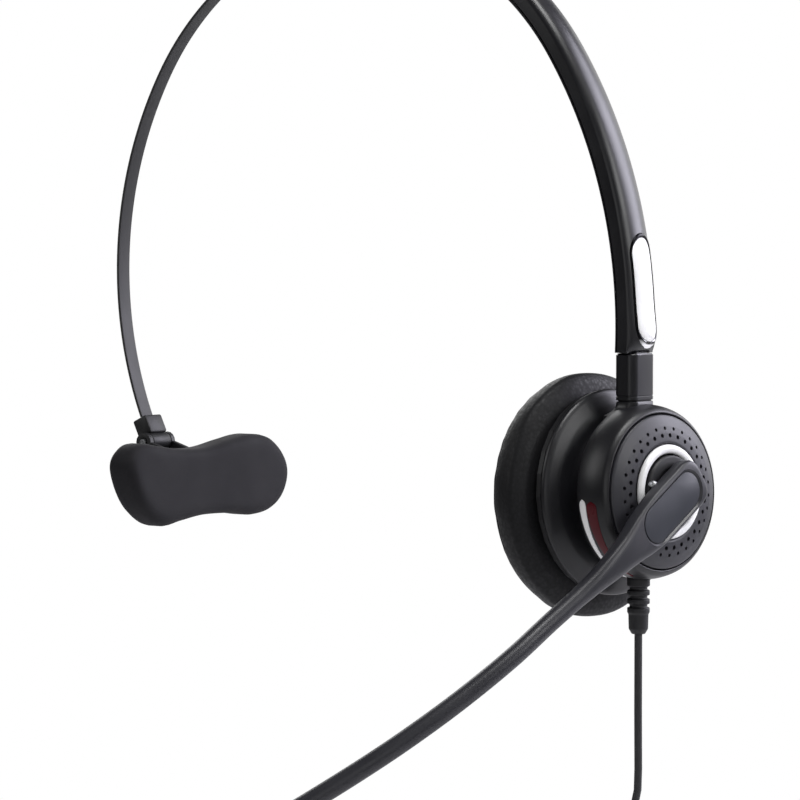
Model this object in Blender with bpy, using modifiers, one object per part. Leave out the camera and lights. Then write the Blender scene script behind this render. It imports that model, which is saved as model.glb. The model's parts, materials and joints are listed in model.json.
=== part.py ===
"""Single-ear office headset: steel headband, temple pad, sliding arm, swivelling ear cup, rotating
microphone boom and a hanging cord with its modular plug.

Units in this file are millimetres, turned into metres by MM. +Z is up, the wearer faces -Y, and the
ear cup is on the +X side. The origin is on the underside of the headband at its crown.
"""
import bpy
import bmesh
from math import asin, atan2, cos, pi, radians, sin
from mathutils import Matrix, Vector

MM = 0.001
NAME = "office_headset"

# clearances
GAP = 0.3            # between faces that rest on each other
RUN = 0.3            # round a pin or shaft that turns

# headband: crown arc, flatter left arc, flatter right arc, tangent where they meet
BAND_W = 5.0
BAND_T = 0.8
CROWN_R = 76.2
LEFT_R = 105.6
RIGHT_R = 132.8
CROWN_TO_LEFT = radians(148.6)
CROWN_TO_RIGHT = radians(32.7)
BAND_LEFT_END = radians(205.6)
BAND_IN_ARM = radians(24.0)
RIVET_R = 0.9
RIVET_HEAD_R = 1.7
RIVETS = (BAND_IN_ARM + radians(2.2), BAND_IN_ARM + radians(6.5))

# plastic arm round the band's right side
ARM_TOP = radians(48.0)
ARM_LIP = radians(-2.3)
ARM_W_TOP = 11.0
ARM_W_LIP = 13.4
ARM_OUT = 3.7        # outer face above the band's centre line
ARM_IN = 2.9         # inner face below it
ARM_ROUND = ((0, 2.5), (0.7, 1.2), (2.2, 0.35), (4.0, 0))   # inset from the side, drop from the top
COVER_T = 1.2
COVER_EDGE = 0.6

# stadium badge on the arm
BADGE_L = 27.6
BADGE_W = 10.2
BADGE_RIM = 0.7
BADGE_AT = radians(4.4)
BADGE_DEEP = 1.2

# slider and stem
SLIDER_W = 7.0
SLIDER_T = 0.8
SLIDER_TOP = radians(13.0)
SLIDER_IN_STEM = 7.0
CHANNEL_W = SLIDER_W + 1.4
CHANNEL_OUT = SLIDER_T / 2 + 0.8
LEAF_W = 4.0
LEAF_T = 0.25
LEAF_BOW = (0, 0.16, 0.22, 0.16, 0)
STEM_W = 11.8
STEM_T = 5.8
STEM_L = 11.6
COLLAR_T = 1.0
PIN_R = 2.0
PIN_L = 10.4
PIN_IN_STEM = 2.5
CLIP_GROOVE_AT = 1.6     # above the pin's end
CLIP_GROOVE_H = 1.1
CLIP_GROOVE_DEEP = 0.6
CLIP_RING_T = 0.5
CLIP_RING_W = 1.7

# ear cup: radii step outward or inward from the drum's
DRUM_R = 20.8
DRUM_WALL = 2.2
BOSS_RISE = 2.4      # stem collar above the drum's side
BOSS_IN = 3.5        # boss reaching in past the drum's side
CUP_DROP = DRUM_R + BOSS_RISE
CUP_YAW = 12.0
CUP_TILT = 3.0
RIM_AT = 9.1         # cap rim outward of the stem axis
DRUM_BACK = -1.2
NECK_R = DRUM_R - 3.6
NECK_WALL = 1.6
FLANGE_R = DRUM_R + 5.4
FLANGE_AT = -7.0
FLANGE_T = 1.2
CAP_SEAT = 1.5       # depth of the ledge that the cap plate sits on
PLATE_R = DRUM_R - 1.5
RING_R = PLATE_R - 7.5
RING_W = 2.2
HUB_R = RING_R - 2.7
HUB_SHAFT_R = 3.0
HUB_BORE_R = 1.4
HUB_DEEP = 2.2       # shaft below the well's floor
PEG_R = 0.8
PEG_AT = (-(HUB_R - 2.1), 0.6)
HOLES = 25
HOLE_ROW_IN = PLATE_R - 4.5
HOLE_ROW_OUT = PLATE_R - 2.8
HOLE_IN_R = 0.5
HOLE_OUT_R = 0.36
WELL_FLOOR = RIM_AT + 0.9
WELL_FLOOR_T = 1.0
RING_LOW = RIM_AT + 2.0
HUB_TOP = RIM_AT + 3.6
WASHER_R = 6.5
WASHER_T = 0.7
RETAINER_R = 6.2
RETAINER_T = 0.8
SCREW_HEAD_R = 2.3
SCREW_R = HUB_BORE_R - GAP

# coloured strips let into the drum's side, front and rear
ACCENT_FROM = radians(2)
ACCENT_TO = radians(72)
ACCENT_DEEP = 0.9
SILVER_AT = (1.6, 3.1)
RED_AT = (3.4, 5.8)

# speaker and cushion
DRIVER_R = NECK_R - 2.6
DRIVER_H = 3.4
DRIVER_RIM_W = 1.2
MAGNET_R = 8.0
MAGNET_T = 2.6
BAFFLE_T = 1.4
SOUND_HOLE_R = 1.2
SOUND_HOLE_RING = 5.0
CLOTH_R = DRUM_R - 0.8
CLOTH_T = 0.4
CUSHION_R = FLANGE_R + 4.6
CUSHION_T = 16.4
CUSHION_HOLE_R = 9.5
CUSHION_FLAT = (14.0, 20.0)      # inner and outer radius of the flat on the ear side
BOARD = (15.0, 9.0, 1.0)

# boom
BOOM_DROP = 33.0     # degrees below the horizontal
BOOM_D = 4.7
PADDLE_W = 12.6
PADDLE_T = 4.6
BOOM_L = 152.0
INSERT_L = 23.0
INSERT_AT = 6.6
INSERT_W = 9.2
MIC_L = 15.0
MIC_W = 8.4
MIC_T = 7.0
MIC_WALL = 1.2
MIC_ROOM_R = MIC_W / 2 - 1.0
MIC_PORT = (4.0, 1.2)
MIC_ROUND = ((0, 0.55), (0.5, 0.80), (1.4, 0.95), (2.2, 1.0))   # depth from the face, share of the outline

# temple pad
PAD_T = 10.0
PAD_EDGE = 2.6
PAD_REACH = 21.0     # hinge pin to the pad's inner face
PAD_DROP = 9.9       # hinge pin to the pad's centre
PAD_QUARTER = ((34.6, 0), (31.2, 8.1), (22.8, 11.5), (11.6, 9.9), (0, 9.3))
CLIP_T = 5.0
CLIP_L = 5.4
CLIP_W = 7.4
CLIP_AT = BAND_LEFT_END - radians(0.2)
CLIP_TO_PIN = radians(1.6)
CLIP_PAST_FRAME = 1.0
CLIP_SLOT_L = 11.0
BARREL_R = 2.6
PIVOT_PIN_R = 1.0
EAR_T = 1.5
EAR_WEB = 9.6
BRACKET_L = 34.0
BRACKET_H = 12.0
BRACKET_T = 1.6
BRACKET_UNDER_BARREL = 1.0

# cord
CORD_D = 2.0
CORD_IN_RELIEF = 3.0
RELIEF_OUT = 1.13    # outward of the stem axis
RELIEF_L = 14.6
RELIEF_NECK_R = 2.2
RELIEF_NECK_L = 3.1
RELIEF_R = 2.9
RELIEF_STEP = 0.5    # shoulder below the drum's side
RELIEF_COLLAR = 2.4
RIBS = 3
RIB_PITCH = 2.2
COIL_R = 15.4        # centre line of the coiled bundle
COIL_TUBE_R = 4.4
TIE_R = COIL_TUBE_R + 0.6
TIE_T = 0.8
TIE_L = 4.4
PLUG_W = 7.6
PLUG_H = 6.4
PLUG_L = 12.0
BOOT_L = 5.0
CONTACT_PITCH = 1.27
CONTACT = (1.6, 0.4, 4.2)
LATCH_W = 3.2
LATCH_L = 9.0
LATCH_T = 0.8

CROWN_C = Vector((0, 0, -(CROWN_R - BAND_T / 2)))


def radial(angle):
    return Vector((cos(angle), 0, sin(angle)))


LEFT_C = CROWN_C + (CROWN_R - LEFT_R) * radial(CROWN_TO_LEFT)
RIGHT_C = CROWN_C + (CROWN_R - RIGHT_R) * radial(CROWN_TO_RIGHT)


def band_point(angle):
    """Centre line of the headband where its outward normal has this angle."""
    if angle > CROWN_TO_LEFT:
        return LEFT_C + LEFT_R * radial(angle)
    if angle < CROWN_TO_RIGHT:
        return RIGHT_C + RIGHT_R * radial(angle)
    return CROWN_C + CROWN_R * radial(angle)


LIP = band_point(ARM_LIP)
STEM_X = RIGHT_C.x + RIGHT_R
STEM_TOP_Z = LIP.z - GAP
STEM_BOTTOM_Z = STEM_TOP_Z - STEM_L
CUP_Z = STEM_BOTTOM_Z - CUP_DROP

# the cup's frame: X backward, Y up, Z outward along the axis of the drum
YAW, TILT = radians(CUP_YAW), radians(CUP_TILT)
OUTWARD = Vector((cos(YAW) * cos(TILT), -sin(YAW) * cos(TILT), sin(TILT)))
BACKWARD = Vector((sin(YAW), cos(YAW), 0))
UPWARD = OUTWARD.cross(BACKWARD)
CUP_FRAME = Matrix((BACKWARD, UPWARD, OUTWARD)).transposed().to_4x4()
CUP_FRAME.translation = Vector((STEM_X, 0, CUP_Z)) * MM

# hinge pin of the temple pad, and the pad's face and centre from it
PAD_PIVOT = band_point(CLIP_AT + CLIP_TO_PIN)
PAD_FACE_X = PAD_PIVOT.x + PAD_REACH
PAD_Z = PAD_PIVOT.z - PAD_DROP

# where the cord leaves its relief, and its routes from there
RELIEF_X = STEM_X + RELIEF_OUT
SHOULDER_Z = CUP_Z - DRUM_R - RELIEF_STEP
CORD_TOP = Vector((RELIEF_X, 0, SHOULDER_Z - RELIEF_L + CORD_IN_RELIEF - GAP))
COIL_AT = CORD_TOP + Vector((0.7, 0.3, -74.0))
COIL_OUT = COIL_R + COIL_TUBE_R + GAP
LEAD_ROUTE = [CORD_TOP + Vector(step) for step in
              ((0, 0, 0), (0, 0, -10), (0, 0, -25), (0.1, 0.1, -38), (0.3, 0.2, -48))]
LEAD_ROUTE.append(COIL_AT + Vector((0, 0, COIL_OUT)))
TAIL_ROUTE = [COIL_AT + Vector((x, y, z - COIL_OUT)) for x, y, z in
              ((-1.0, -1.3, 0), (-1.4, -1.5, -7.9), (-1.1, -1.2, -15.9), (-0.6, -0.9, -23.9),
               (-0.4, -0.8, -31.9))]

BOOM_DIR = Vector((-cos(radians(BOOM_DROP)), -sin(radians(BOOM_DROP)), 0))
BOOM_SIDE = Vector((-sin(radians(BOOM_DROP)), cos(radians(BOOM_DROP)), 0))


# ---------------------------------------------------------------- scene and helpers

for old in list(bpy.data.objects):
    bpy.data.objects.remove(old, do_unlink=True)

parts = bpy.data.collections.new(NAME)
cutters = bpy.data.collections.new(NAME + "_cutters")
for group in (parts, cutters):
    bpy.context.scene.collection.children.link(group)


def make_material(name, colour, roughness, metallic=0.0):
    material = bpy.data.materials.new(name)
    material.use_nodes = True
    shader = material.node_tree.nodes["Principled BSDF"]
    shader.inputs["Base Color"].default_value = (*colour, 1)
    shader.inputs["Roughness"].default_value = roughness
    shader.inputs["Metallic"].default_value = metallic
    return material


MATERIALS = {
    "black_plastic": make_material("black_plastic", (0.018, 0.018, 0.020), 0.42),
    "grey_plastic": make_material("grey_plastic", (0.060, 0.062, 0.068), 0.45),
    "painted_steel": make_material("painted_steel", (0.030, 0.030, 0.032), 0.50, 0.3),
    "steel": make_material("steel", (0.55, 0.55, 0.56), 0.30, 1.0),
    "silver_trim": make_material("silver_trim", (0.85, 0.85, 0.86), 0.18, 1.0),
    "white_inlay": make_material("white_inlay", (0.88, 0.88, 0.89), 0.35),
    "red_lens": make_material("red_lens", (0.20, 0.010, 0.016), 0.25),
    "leatherette": make_material("leatherette", (0.020, 0.020, 0.022), 0.55),
    "rubber": make_material("rubber", (0.022, 0.022, 0.024), 0.65),
    "cloth": make_material("cloth", (0.015, 0.015, 0.016), 0.90),
    "board": make_material("board", (0.02, 0.12, 0.05), 0.50),
    "gold": make_material("gold", (0.80, 0.58, 0.22), 0.25, 1.0),
    "clear_plastic": make_material("clear_plastic", (0.62, 0.64, 0.66), 0.15),
}


def empty(name, matrix):
    holder = bpy.data.objects.new(name, None)
    parts.objects.link(holder)
    holder.matrix_world = matrix
    return holder


def add(name, mesh, material, holder=None, place=None, group=parts):
    """Link a mesh (in metres, in its holder's frame) as a named object."""
    item = bpy.data.objects.new(name, mesh)
    group.objects.link(item)
    if holder:
        item.parent = holder
    if place:
        item.matrix_local = place
    if group is cutters:
        item.hide_render = True
        item.display_type = "WIRE"
    else:
        mesh.materials.append(MATERIALS[material])
    return item


def mesh_of(name, bm, smooth=False):
    bmesh.ops.recalc_face_normals(bm, faces=bm.faces)
    bmesh.ops.scale(bm, vec=(MM, MM, MM), verts=bm.verts)
    mesh = bpy.data.meshes.new(name)
    bm.to_mesh(mesh)
    bm.free()
    if smooth:
        mesh.shade_smooth()
        mesh.set_sharp_from_angle(angle=radians(35))
    return mesh


def lathe(name, profile, material, holder=None, place=None, steps=28, group=parts):
    """Turn a closed profile of (radius, height), given down its outer side and back up its inner."""
    bm = bmesh.new()
    points = [bm.verts.new((r, 0, h)) for r, h in profile]
    for first, second in zip(points, points[1:] + points[:1]):
        if first.co.x + second.co.x > 1e-6:
            bm.edges.new((first, second))
    bmesh.ops.scale(bm, vec=(MM, MM, MM), verts=bm.verts)
    mesh = bpy.data.meshes.new(name)
    bm.to_mesh(mesh)
    bm.free()
    item = add(name, mesh, material, holder, place, group)
    screw = item.modifiers.new("turn", "SCREW")
    screw.steps = screw.render_steps = steps
    screw.use_merge_vertices = True
    screw.merge_threshold = 1e-6
    screw.use_smooth_shade = True
    return item


def loft(name, rings, material, holder=None, group=parts):
    """Skin closed rings of equal vertex count, with a cap on each end."""
    bm = bmesh.new()
    loops = [[bm.verts.new(point) for point in ring] for ring in rings]
    count = len(rings[0])
    for low, high in zip(loops, loops[1:]):
        for i in range(count):
            j = (i + 1) % count
            bm.faces.new((low[i], low[j], high[j], high[i]))
    bm.faces.new(loops[0][::-1])
    bm.faces.new(loops[-1])
    return add(name, mesh_of(name, bm, smooth=True), material, holder, None, group)


def cylinder(name, radius, low, high, material, holder=None, place=None, sides=16, group=parts):
    bm = bmesh.new()
    bmesh.ops.create_cone(bm, cap_ends=True, segments=sides, radius1=radius, radius2=radius,
                          depth=high - low, matrix=Matrix.Translation((0, 0, (low + high) / 2)))
    return add(name, mesh_of(name, bm, smooth=True), material, holder, place, group)


def box(name, size, centre, material, holder=None, place=None, bevel=0.0, group=parts):
    bm = bmesh.new()
    bmesh.ops.create_cube(bm, size=1, matrix=Matrix.Translation(centre) @ Matrix.Diagonal((*size, 1)))
    if bevel:
        bmesh.ops.bevel(bm, geom=bm.edges[:], offset=bevel, segments=2, profile=0.5,
                        affect="EDGES", material=-1)
    return add(name, mesh_of(name, bm), material, holder, place, group)


def stadium(length, width, steps=6):
    """Closed outline, long along Y, with round ends."""
    half = (length - width) / 2
    outline = []
    for end in (1, -1):
        for k in range(steps + 1):
            angle = pi * k / steps + (0 if end > 0 else pi)
            outline.append((width / 2 * cos(angle), end * half + width / 2 * sin(angle)))
    return outline


def prism(name, outline, low, high, material, holder=None, place=None, group=parts):
    rings = [[Vector((x, y, h)) for x, y in outline] for h in (low, high)]
    item = loft(name, rings, material, holder, group)
    if place:
        item.matrix_local = place
    return item


def combine(item, other, operation):
    modifier = item.modifiers.new(operation.lower(), "BOOLEAN")
    modifier.operation = operation
    modifier.solver = "EXACT"
    modifier.object = other


def cut(item, *tools):
    for tool in tools:
        combine(item, tool, "DIFFERENCE")


def join(item, *tools):
    for tool in tools:
        combine(item, tool, "UNION")


def at(x, y, z, rotation=None):
    place = Matrix.Translation(Vector((x, y, z)) * MM)
    return place @ rotation if rotation else place


def band_frame(angle):
    """Frame on the band's centre line: X across the band, Y along it, Z outward."""
    out = radial(angle)
    along = Vector((-sin(angle), 0, cos(angle)))
    across = along.cross(out)
    frame = Matrix((across, along, out)).transposed().to_4x4()
    frame.translation = band_point(angle) * MM
    return frame


# ---------------------------------------------------------------- headband and temple pad

def band_angles(start, stop, step=radians(3.6)):
    count = max(2, round(abs(stop - start) / step))
    return [start + (stop - start) * k / count for k in range(count + 1)]


def band_section(angle, width, low, high):
    centre, out = band_point(angle), radial(angle)
    half = Vector((0, width / 2, 0))
    return [centre + out * low - half, centre + out * low + half,
            centre + out * high + half, centre + out * high - half]


def make_band():
    angles = band_angles(BAND_IN_ARM, BAND_LEFT_END)
    rings = [band_section(a, BAND_W, -BAND_T / 2, BAND_T / 2) for a in angles]
    band = loft("spring_band", rings, "painted_steel")
    for k, angle in enumerate(RIVETS):
        hole = cylinder(f"cut_band_{k}", RIVET_R + RUN, -3, 3, None, None, band_frame(angle), 16, cutters)
        cut(band, hole)


def make_rivets():
    low, high = -(ARM_IN - COVER_T - GAP * 2), CHANNEL_OUT - GAP
    for k, angle in enumerate(RIVETS):
        profile = [(0, high), (RIVET_R, high), (RIVET_R, -BAND_T / 2 - GAP),
                   (RIVET_HEAD_R, -BAND_T / 2 - GAP), (RIVET_HEAD_R, low), (0, low)]
        lathe(f"band_rivet_{k + 1}", profile, "steel", None, band_frame(angle), 16)


def pad_outline():
    """Two rounded lobes with a waist between them, from one quarter."""
    right = list(PAD_QUARTER) + [(-y, z) for y, z in PAD_QUARTER[-2:0:-1]]
    return right + [(-y, -z) for y, z in right]


def make_pad():
    """Flat cushion with rounded edges across the temple."""
    curve = bpy.data.curves.new("temple_pad", "CURVE")
    curve.dimensions = "2D"
    curve.fill_mode = "BOTH"
    curve.resolution_u = 3
    curve.extrude = (PAD_T / 2 - PAD_EDGE) * MM
    curve.bevel_depth = PAD_EDGE * MM
    curve.bevel_resolution = 2
    curve.offset = -PAD_EDGE * MM
    outline = pad_outline()
    spline = curve.splines.new("BEZIER")
    spline.bezier_points.add(len(outline) - 1)
    for point, (y, z) in zip(spline.bezier_points, outline):
        point.co = (y * MM, z * MM, 0)
        point.handle_left_type = point.handle_right_type = "AUTO"
    spline.use_cyclic_u = True
    guide = bpy.data.objects.new("temple_pad_curve", curve)
    cutters.objects.link(guide)
    turn = Matrix(((0, 0, 1), (1, 0, 0), (0, 1, 0))).to_4x4()
    guide.matrix_world = at(PAD_FACE_X - PAD_T / 2, 0, PAD_Z, turn)
    bpy.context.view_layer.update()
    mesh = bpy.data.meshes.new_from_object(guide.evaluated_get(bpy.context.evaluated_depsgraph_get()))
    bm = bmesh.new()
    bm.from_mesh(mesh)
    bmesh.ops.remove_doubles(bm, verts=bm.verts, dist=1e-6)
    bmesh.ops.recalc_face_normals(bm, faces=bm.faces)
    bm.to_mesh(mesh)
    bm.free()
    mesh.materials.clear()
    add("temple_pad", mesh, "rubber", None, guide.matrix_world.copy())
    bpy.data.objects.remove(guide)


def make_pad_carrier():
    pivot = PAD_PIVOT
    clip_frame = band_frame(CLIP_AT)
    lying = Matrix.Rotation(pi / 2, 4, "X")
    pin_place = at(*pivot, lying)

    # the clip closes over the band's end and turns into a barrel round the hinge pin
    clip = box("band_end_clip", (CLIP_W, CLIP_L, CLIP_T), (0, CLIP_PAST_FRAME - CLIP_L / 2, 0),
               "black_plastic", None, clip_frame, 0.6)
    barrel = cylinder("join_clip_barrel", BARREL_R, -CLIP_W / 2, CLIP_W / 2, None, None, pin_place, 16,
                      cutters)
    past_end = LEFT_R * (BAND_LEFT_END - CLIP_AT) + GAP
    slot = box("cut_clip_slot", (BAND_W + 2 * GAP, CLIP_SLOT_L, BAND_T + 2 * GAP),
               (0, past_end - CLIP_SLOT_L / 2, 0), None, None, clip_frame, 0, cutters)
    join(clip, barrel)
    cut(clip, slot)
    cut(clip, cylinder("cut_clip_pin", PIVOT_PIN_R + RUN, -CLIP_W, CLIP_W, None, None, pin_place, 16,
                       cutters))

    # the bracket lies on the pad's back and holds the pin in two ears
    back_x = PAD_FACE_X - PAD_T - GAP
    plate_top = pivot.z - BARREL_R - BRACKET_UNDER_BARREL
    plate = box("pad_bracket", (BRACKET_T, BRACKET_L, BRACKET_H),
                (back_x - BRACKET_T / 2, 0, plate_top - BRACKET_H / 2), "black_plastic", None, None, 0.5)
    inner = CLIP_W / 2 + GAP
    reach = back_x - pivot.x
    for side in (-1, 1):
        y = side * (inner + EAR_T / 2)
        ear = cylinder(f"join_ear_{side}", BARREL_R, -EAR_T / 2, EAR_T / 2, None, None,
                       at(pivot.x, y, pivot.z, lying), 16, cutters)
        web = box(f"join_web_{side}", (reach, EAR_T, EAR_WEB),
                  (pivot.x + reach / 2 - 0.01, y, pivot.z - EAR_WEB / 2), None, None, None, 0, cutters)
        join(plate, ear, web)
    half = inner + EAR_T + 0.4
    cut(plate, cylinder("cut_ear_pin", PIVOT_PIN_R + RUN, -half - 1, half + 1, None, None, pin_place, 16,
                        cutters))
    cylinder("pad_hinge_pin", PIVOT_PIN_R, -half, half, "steel", None, pin_place, 16)


# ---------------------------------------------------------------- arm, badge, slider and stem

def arm_width(angle):
    share = (ARM_TOP - angle) / (ARM_TOP - ARM_LIP)
    return ARM_W_TOP + (ARM_W_LIP - ARM_W_TOP) * share


def arm_section(angle):
    """U section, open to the inner side: round outer face, channel for the band and the slider."""
    half = arm_width(angle) / 2
    rim = -(ARM_IN - COVER_T - GAP)
    right = [(half - inset, ARM_OUT - drop) for inset, drop in ARM_ROUND]
    left = [(-y, r) for y, r in right]
    outline = [(-half, rim)] + left + right[::-1]
    outline += [(half, rim), (CHANNEL_W / 2, rim), (CHANNEL_W / 2, CHANNEL_OUT),
                (-CHANNEL_W / 2, CHANNEL_OUT), (-CHANNEL_W / 2, rim)]
    centre, out = band_point(angle), radial(angle)
    return [centre + out * r + Vector((0, y, 0)) for y, r in outline]


def cover_section(angle):
    half = arm_width(angle) / 2
    low, high = -ARM_IN, -(ARM_IN - COVER_T)
    outline = [(-half + COVER_EDGE, low), (-half, low + COVER_EDGE), (-half, high), (half, high),
               (half, low + COVER_EDGE), (half - COVER_EDGE, low)]
    centre, out = band_point(angle), radial(angle)
    return [centre + out * r + Vector((0, y, 0)) for y, r in outline]


def make_arm():
    angles = band_angles(ARM_LIP, ARM_TOP, radians(3.0))
    arm = loft("arm_shell", [arm_section(a) for a in angles], "black_plastic")
    badge = band_frame(BADGE_AT)
    recess = stadium(BADGE_L + 2 * GAP, BADGE_W + 2 * GAP)
    cut(arm, prism("cut_badge", recess, ARM_OUT - BADGE_DEEP, ARM_OUT + 3, None, None, badge, cutters))
    loft("arm_inner_cover", [cover_section(a) for a in angles], "black_plastic")

    # chrome rim and pale plate; both are flat, so the rim stands a little proud at its ends
    floor = ARM_OUT - BADGE_DEEP + GAP
    rim = prism("badge_rim", stadium(BADGE_L, BADGE_W), floor, ARM_OUT + 0.1, "silver_trim", None, badge)
    opening = stadium(BADGE_L - 2 * BADGE_RIM, BADGE_W - 2 * BADGE_RIM)
    cut(rim, prism("cut_badge_rim", opening, 0, 9, None, None, badge, cutters))
    inner = stadium(BADGE_L - 2 * BADGE_RIM - 2 * GAP, BADGE_W - 2 * BADGE_RIM - 2 * GAP)
    prism("badge_plate", inner, floor, ARM_OUT - 0.2, "white_inlay", None, badge)


def make_slider():
    """Steel strip on the arm's own arc, so it slides in the curved channel, and the stem on its end."""
    stop = asin((STEM_TOP_Z - SLIDER_IN_STEM - RIGHT_C.z) / RIGHT_R)
    angles = band_angles(stop, SLIDER_TOP, radians(2.6))
    loft("slider_strip", [band_section(a, SLIDER_W, -SLIDER_T / 2, SLIDER_T / 2) for a in angles], "steel")

    # the click spring rides on the strip's top end, bowed against the channel's outer wall
    leaf_angles = band_angles(SLIDER_TOP - radians(4.4), SLIDER_TOP - radians(0.2), radians(1.05))
    low = SLIDER_T / 2 + 0.1
    rings = [band_section(a, LEAF_W, low + h, low + h + LEAF_T) for a, h in zip(leaf_angles, LEAF_BOW)]
    loft("click_spring", rings, "steel")

    foot = STEM_BOTTOM_Z + COLLAR_T / 2
    stem = box("stem", (STEM_T, STEM_W, STEM_TOP_Z - foot), (STEM_X, 0, (STEM_TOP_Z + foot) / 2),
               "black_plastic", None, None, 0.9)
    collar = box("join_collar", (STEM_T, STEM_W, COLLAR_T), (STEM_X, 0, STEM_BOTTOM_Z + COLLAR_T / 2),
                 None, None, None, 0.25, cutters)
    pin = cylinder("join_stem_pin", PIN_R, STEM_BOTTOM_Z - PIN_L, foot + PIN_IN_STEM, None, None,
                   at(STEM_X, 0, 0), 16, cutters)
    half, floor = CLIP_GROOVE_H / 2, PIN_R - CLIP_GROOVE_DEEP
    groove = lathe("cut_pin_groove", [(PIN_R + 1, half), (PIN_R + 1, -half), (floor, -half), (floor, half)],
                   None, None, at(STEM_X, 0, STEM_BOTTOM_Z - PIN_L + CLIP_GROOVE_AT), 16, cutters)
    pocket = [band_section(a, SLIDER_W + 2 * GAP, -SLIDER_T / 2 - GAP, SLIDER_T / 2 + GAP)
              for a in (stop - GAP / RIGHT_R, stop + radians(2), stop + radians(5))]
    join(stem, collar, pin)
    cut(stem, groove, loft("cut_stem_pocket", pocket, None, None, cutters))


# ---------------------------------------------------------------- ear cup

def make_cup(cup):
    """Drum, neck and flange in one moulding, with the stem's boss, and the clip on the stem's pin."""
    seat = RIM_AT - CAP_SEAT
    profile = [(DRUM_R - 0.9, RIM_AT), (DRUM_R, RIM_AT - 0.9), (DRUM_R, DRUM_BACK + 0.6),
               (DRUM_R - 0.6, DRUM_BACK), (NECK_R, DRUM_BACK - 0.8), (NECK_R, DRUM_BACK - 2.6),
               (NECK_R + 1.8, DRUM_BACK - 3.1), (FLANGE_R - 1.0, FLANGE_AT + 0.7), (FLANGE_R, FLANGE_AT),
               (FLANGE_R, FLANGE_AT - FLANGE_T), (FLANGE_R - 1.2, FLANGE_AT - FLANGE_T),
               (NECK_R - NECK_WALL, DRUM_BACK - 4.6), (NECK_R - NECK_WALL, DRUM_BACK + 0.2),
               (DRUM_R - DRUM_WALL, DRUM_BACK + 1.4), (DRUM_R - DRUM_WALL, seat),
               (PLATE_R + GAP, seat), (PLATE_R + GAP, RIM_AT)]
    housing = lathe("cup_housing", profile, "black_plastic", cup, None, 36)

    # boss under the stem's collar; the stem's pin passes through it into the drum
    boss_top = STEM_BOTTOM_Z - GAP
    boss_h = BOSS_RISE + BOSS_IN - GAP
    boss = box("join_boss", (STEM_T, STEM_W, boss_h), (STEM_X, 0, boss_top - boss_h / 2), None,
               None, None, 0.8, cutters)
    bore = cylinder("cut_boss_bore", PIN_R + RUN, boss_top - 2 * boss_h, boss_top + 2, None, None,
                    at(STEM_X, 0, 0), 24, cutters)
    gland = cylinder("cut_gland", RELIEF_NECK_R + GAP, SHOULDER_Z - 4, CUP_Z - NECK_R + 5, None, None,
                     at(RELIEF_X, 0, 0), 16, cutters)
    join(housing, boss)
    cut(housing, bore, gland)
    for item in accent_cutters(cup):
        cut(housing, item)

    clip_low = STEM_BOTTOM_Z - PIN_L + CLIP_GROOVE_AT - CLIP_RING_T / 2
    clip_in = PIN_R - CLIP_GROOVE_DEEP + GAP
    clip_out = clip_in + CLIP_RING_W
    ring = [(clip_out, clip_low + CLIP_RING_T), (clip_out, clip_low), (clip_in, clip_low),
            (clip_in, clip_low + CLIP_RING_T)]
    lathe("swivel_clip", ring, "steel", None, at(STEM_X, 0, 0), 16)


def arc_bar(name, low, high, inner, outer, start, stop, material, cup, group=parts, sides=14):
    """Bar bent round the cup's axis, from one angle to another, counted from straight back."""
    rings = []
    for k in range(sides + 1):
        angle = start + (stop - start) * k / sides
        way = Vector((cos(angle), sin(angle), 0))
        rings.append([way * inner + Vector((0, 0, low)), way * outer + Vector((0, 0, low)),
                      way * outer + Vector((0, 0, high)), way * inner + Vector((0, 0, high))])
    return loft(name, rings, material, cup, group)


def accent_spans():
    """Front and rear spans, below the horizontal."""
    return {"front": (pi + ACCENT_FROM, pi + ACCENT_TO), "rear": (2 * pi - ACCENT_TO, 2 * pi - ACCENT_FROM)}


def accent_cutters(cup):
    slack = GAP / DRUM_R
    return [arc_bar(f"cut_accent_{side}", SILVER_AT[0] - GAP, RED_AT[1] + GAP, DRUM_R - ACCENT_DEEP - GAP,
                    DRUM_R + 3, start - slack, stop + slack, None, cup, cutters)
            for side, (start, stop) in accent_spans().items()]


def make_accents(cup):
    inner = DRUM_R - ACCENT_DEEP
    for side, (start, stop) in accent_spans().items():
        arc_bar(f"accent_silver_{side}", *SILVER_AT, inner, DRUM_R + 0.1, start, stop, "silver_trim", cup)
        arc_bar(f"accent_red_{side}", *RED_AT, inner, DRUM_R, start, stop, "red_lens", cup)


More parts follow.
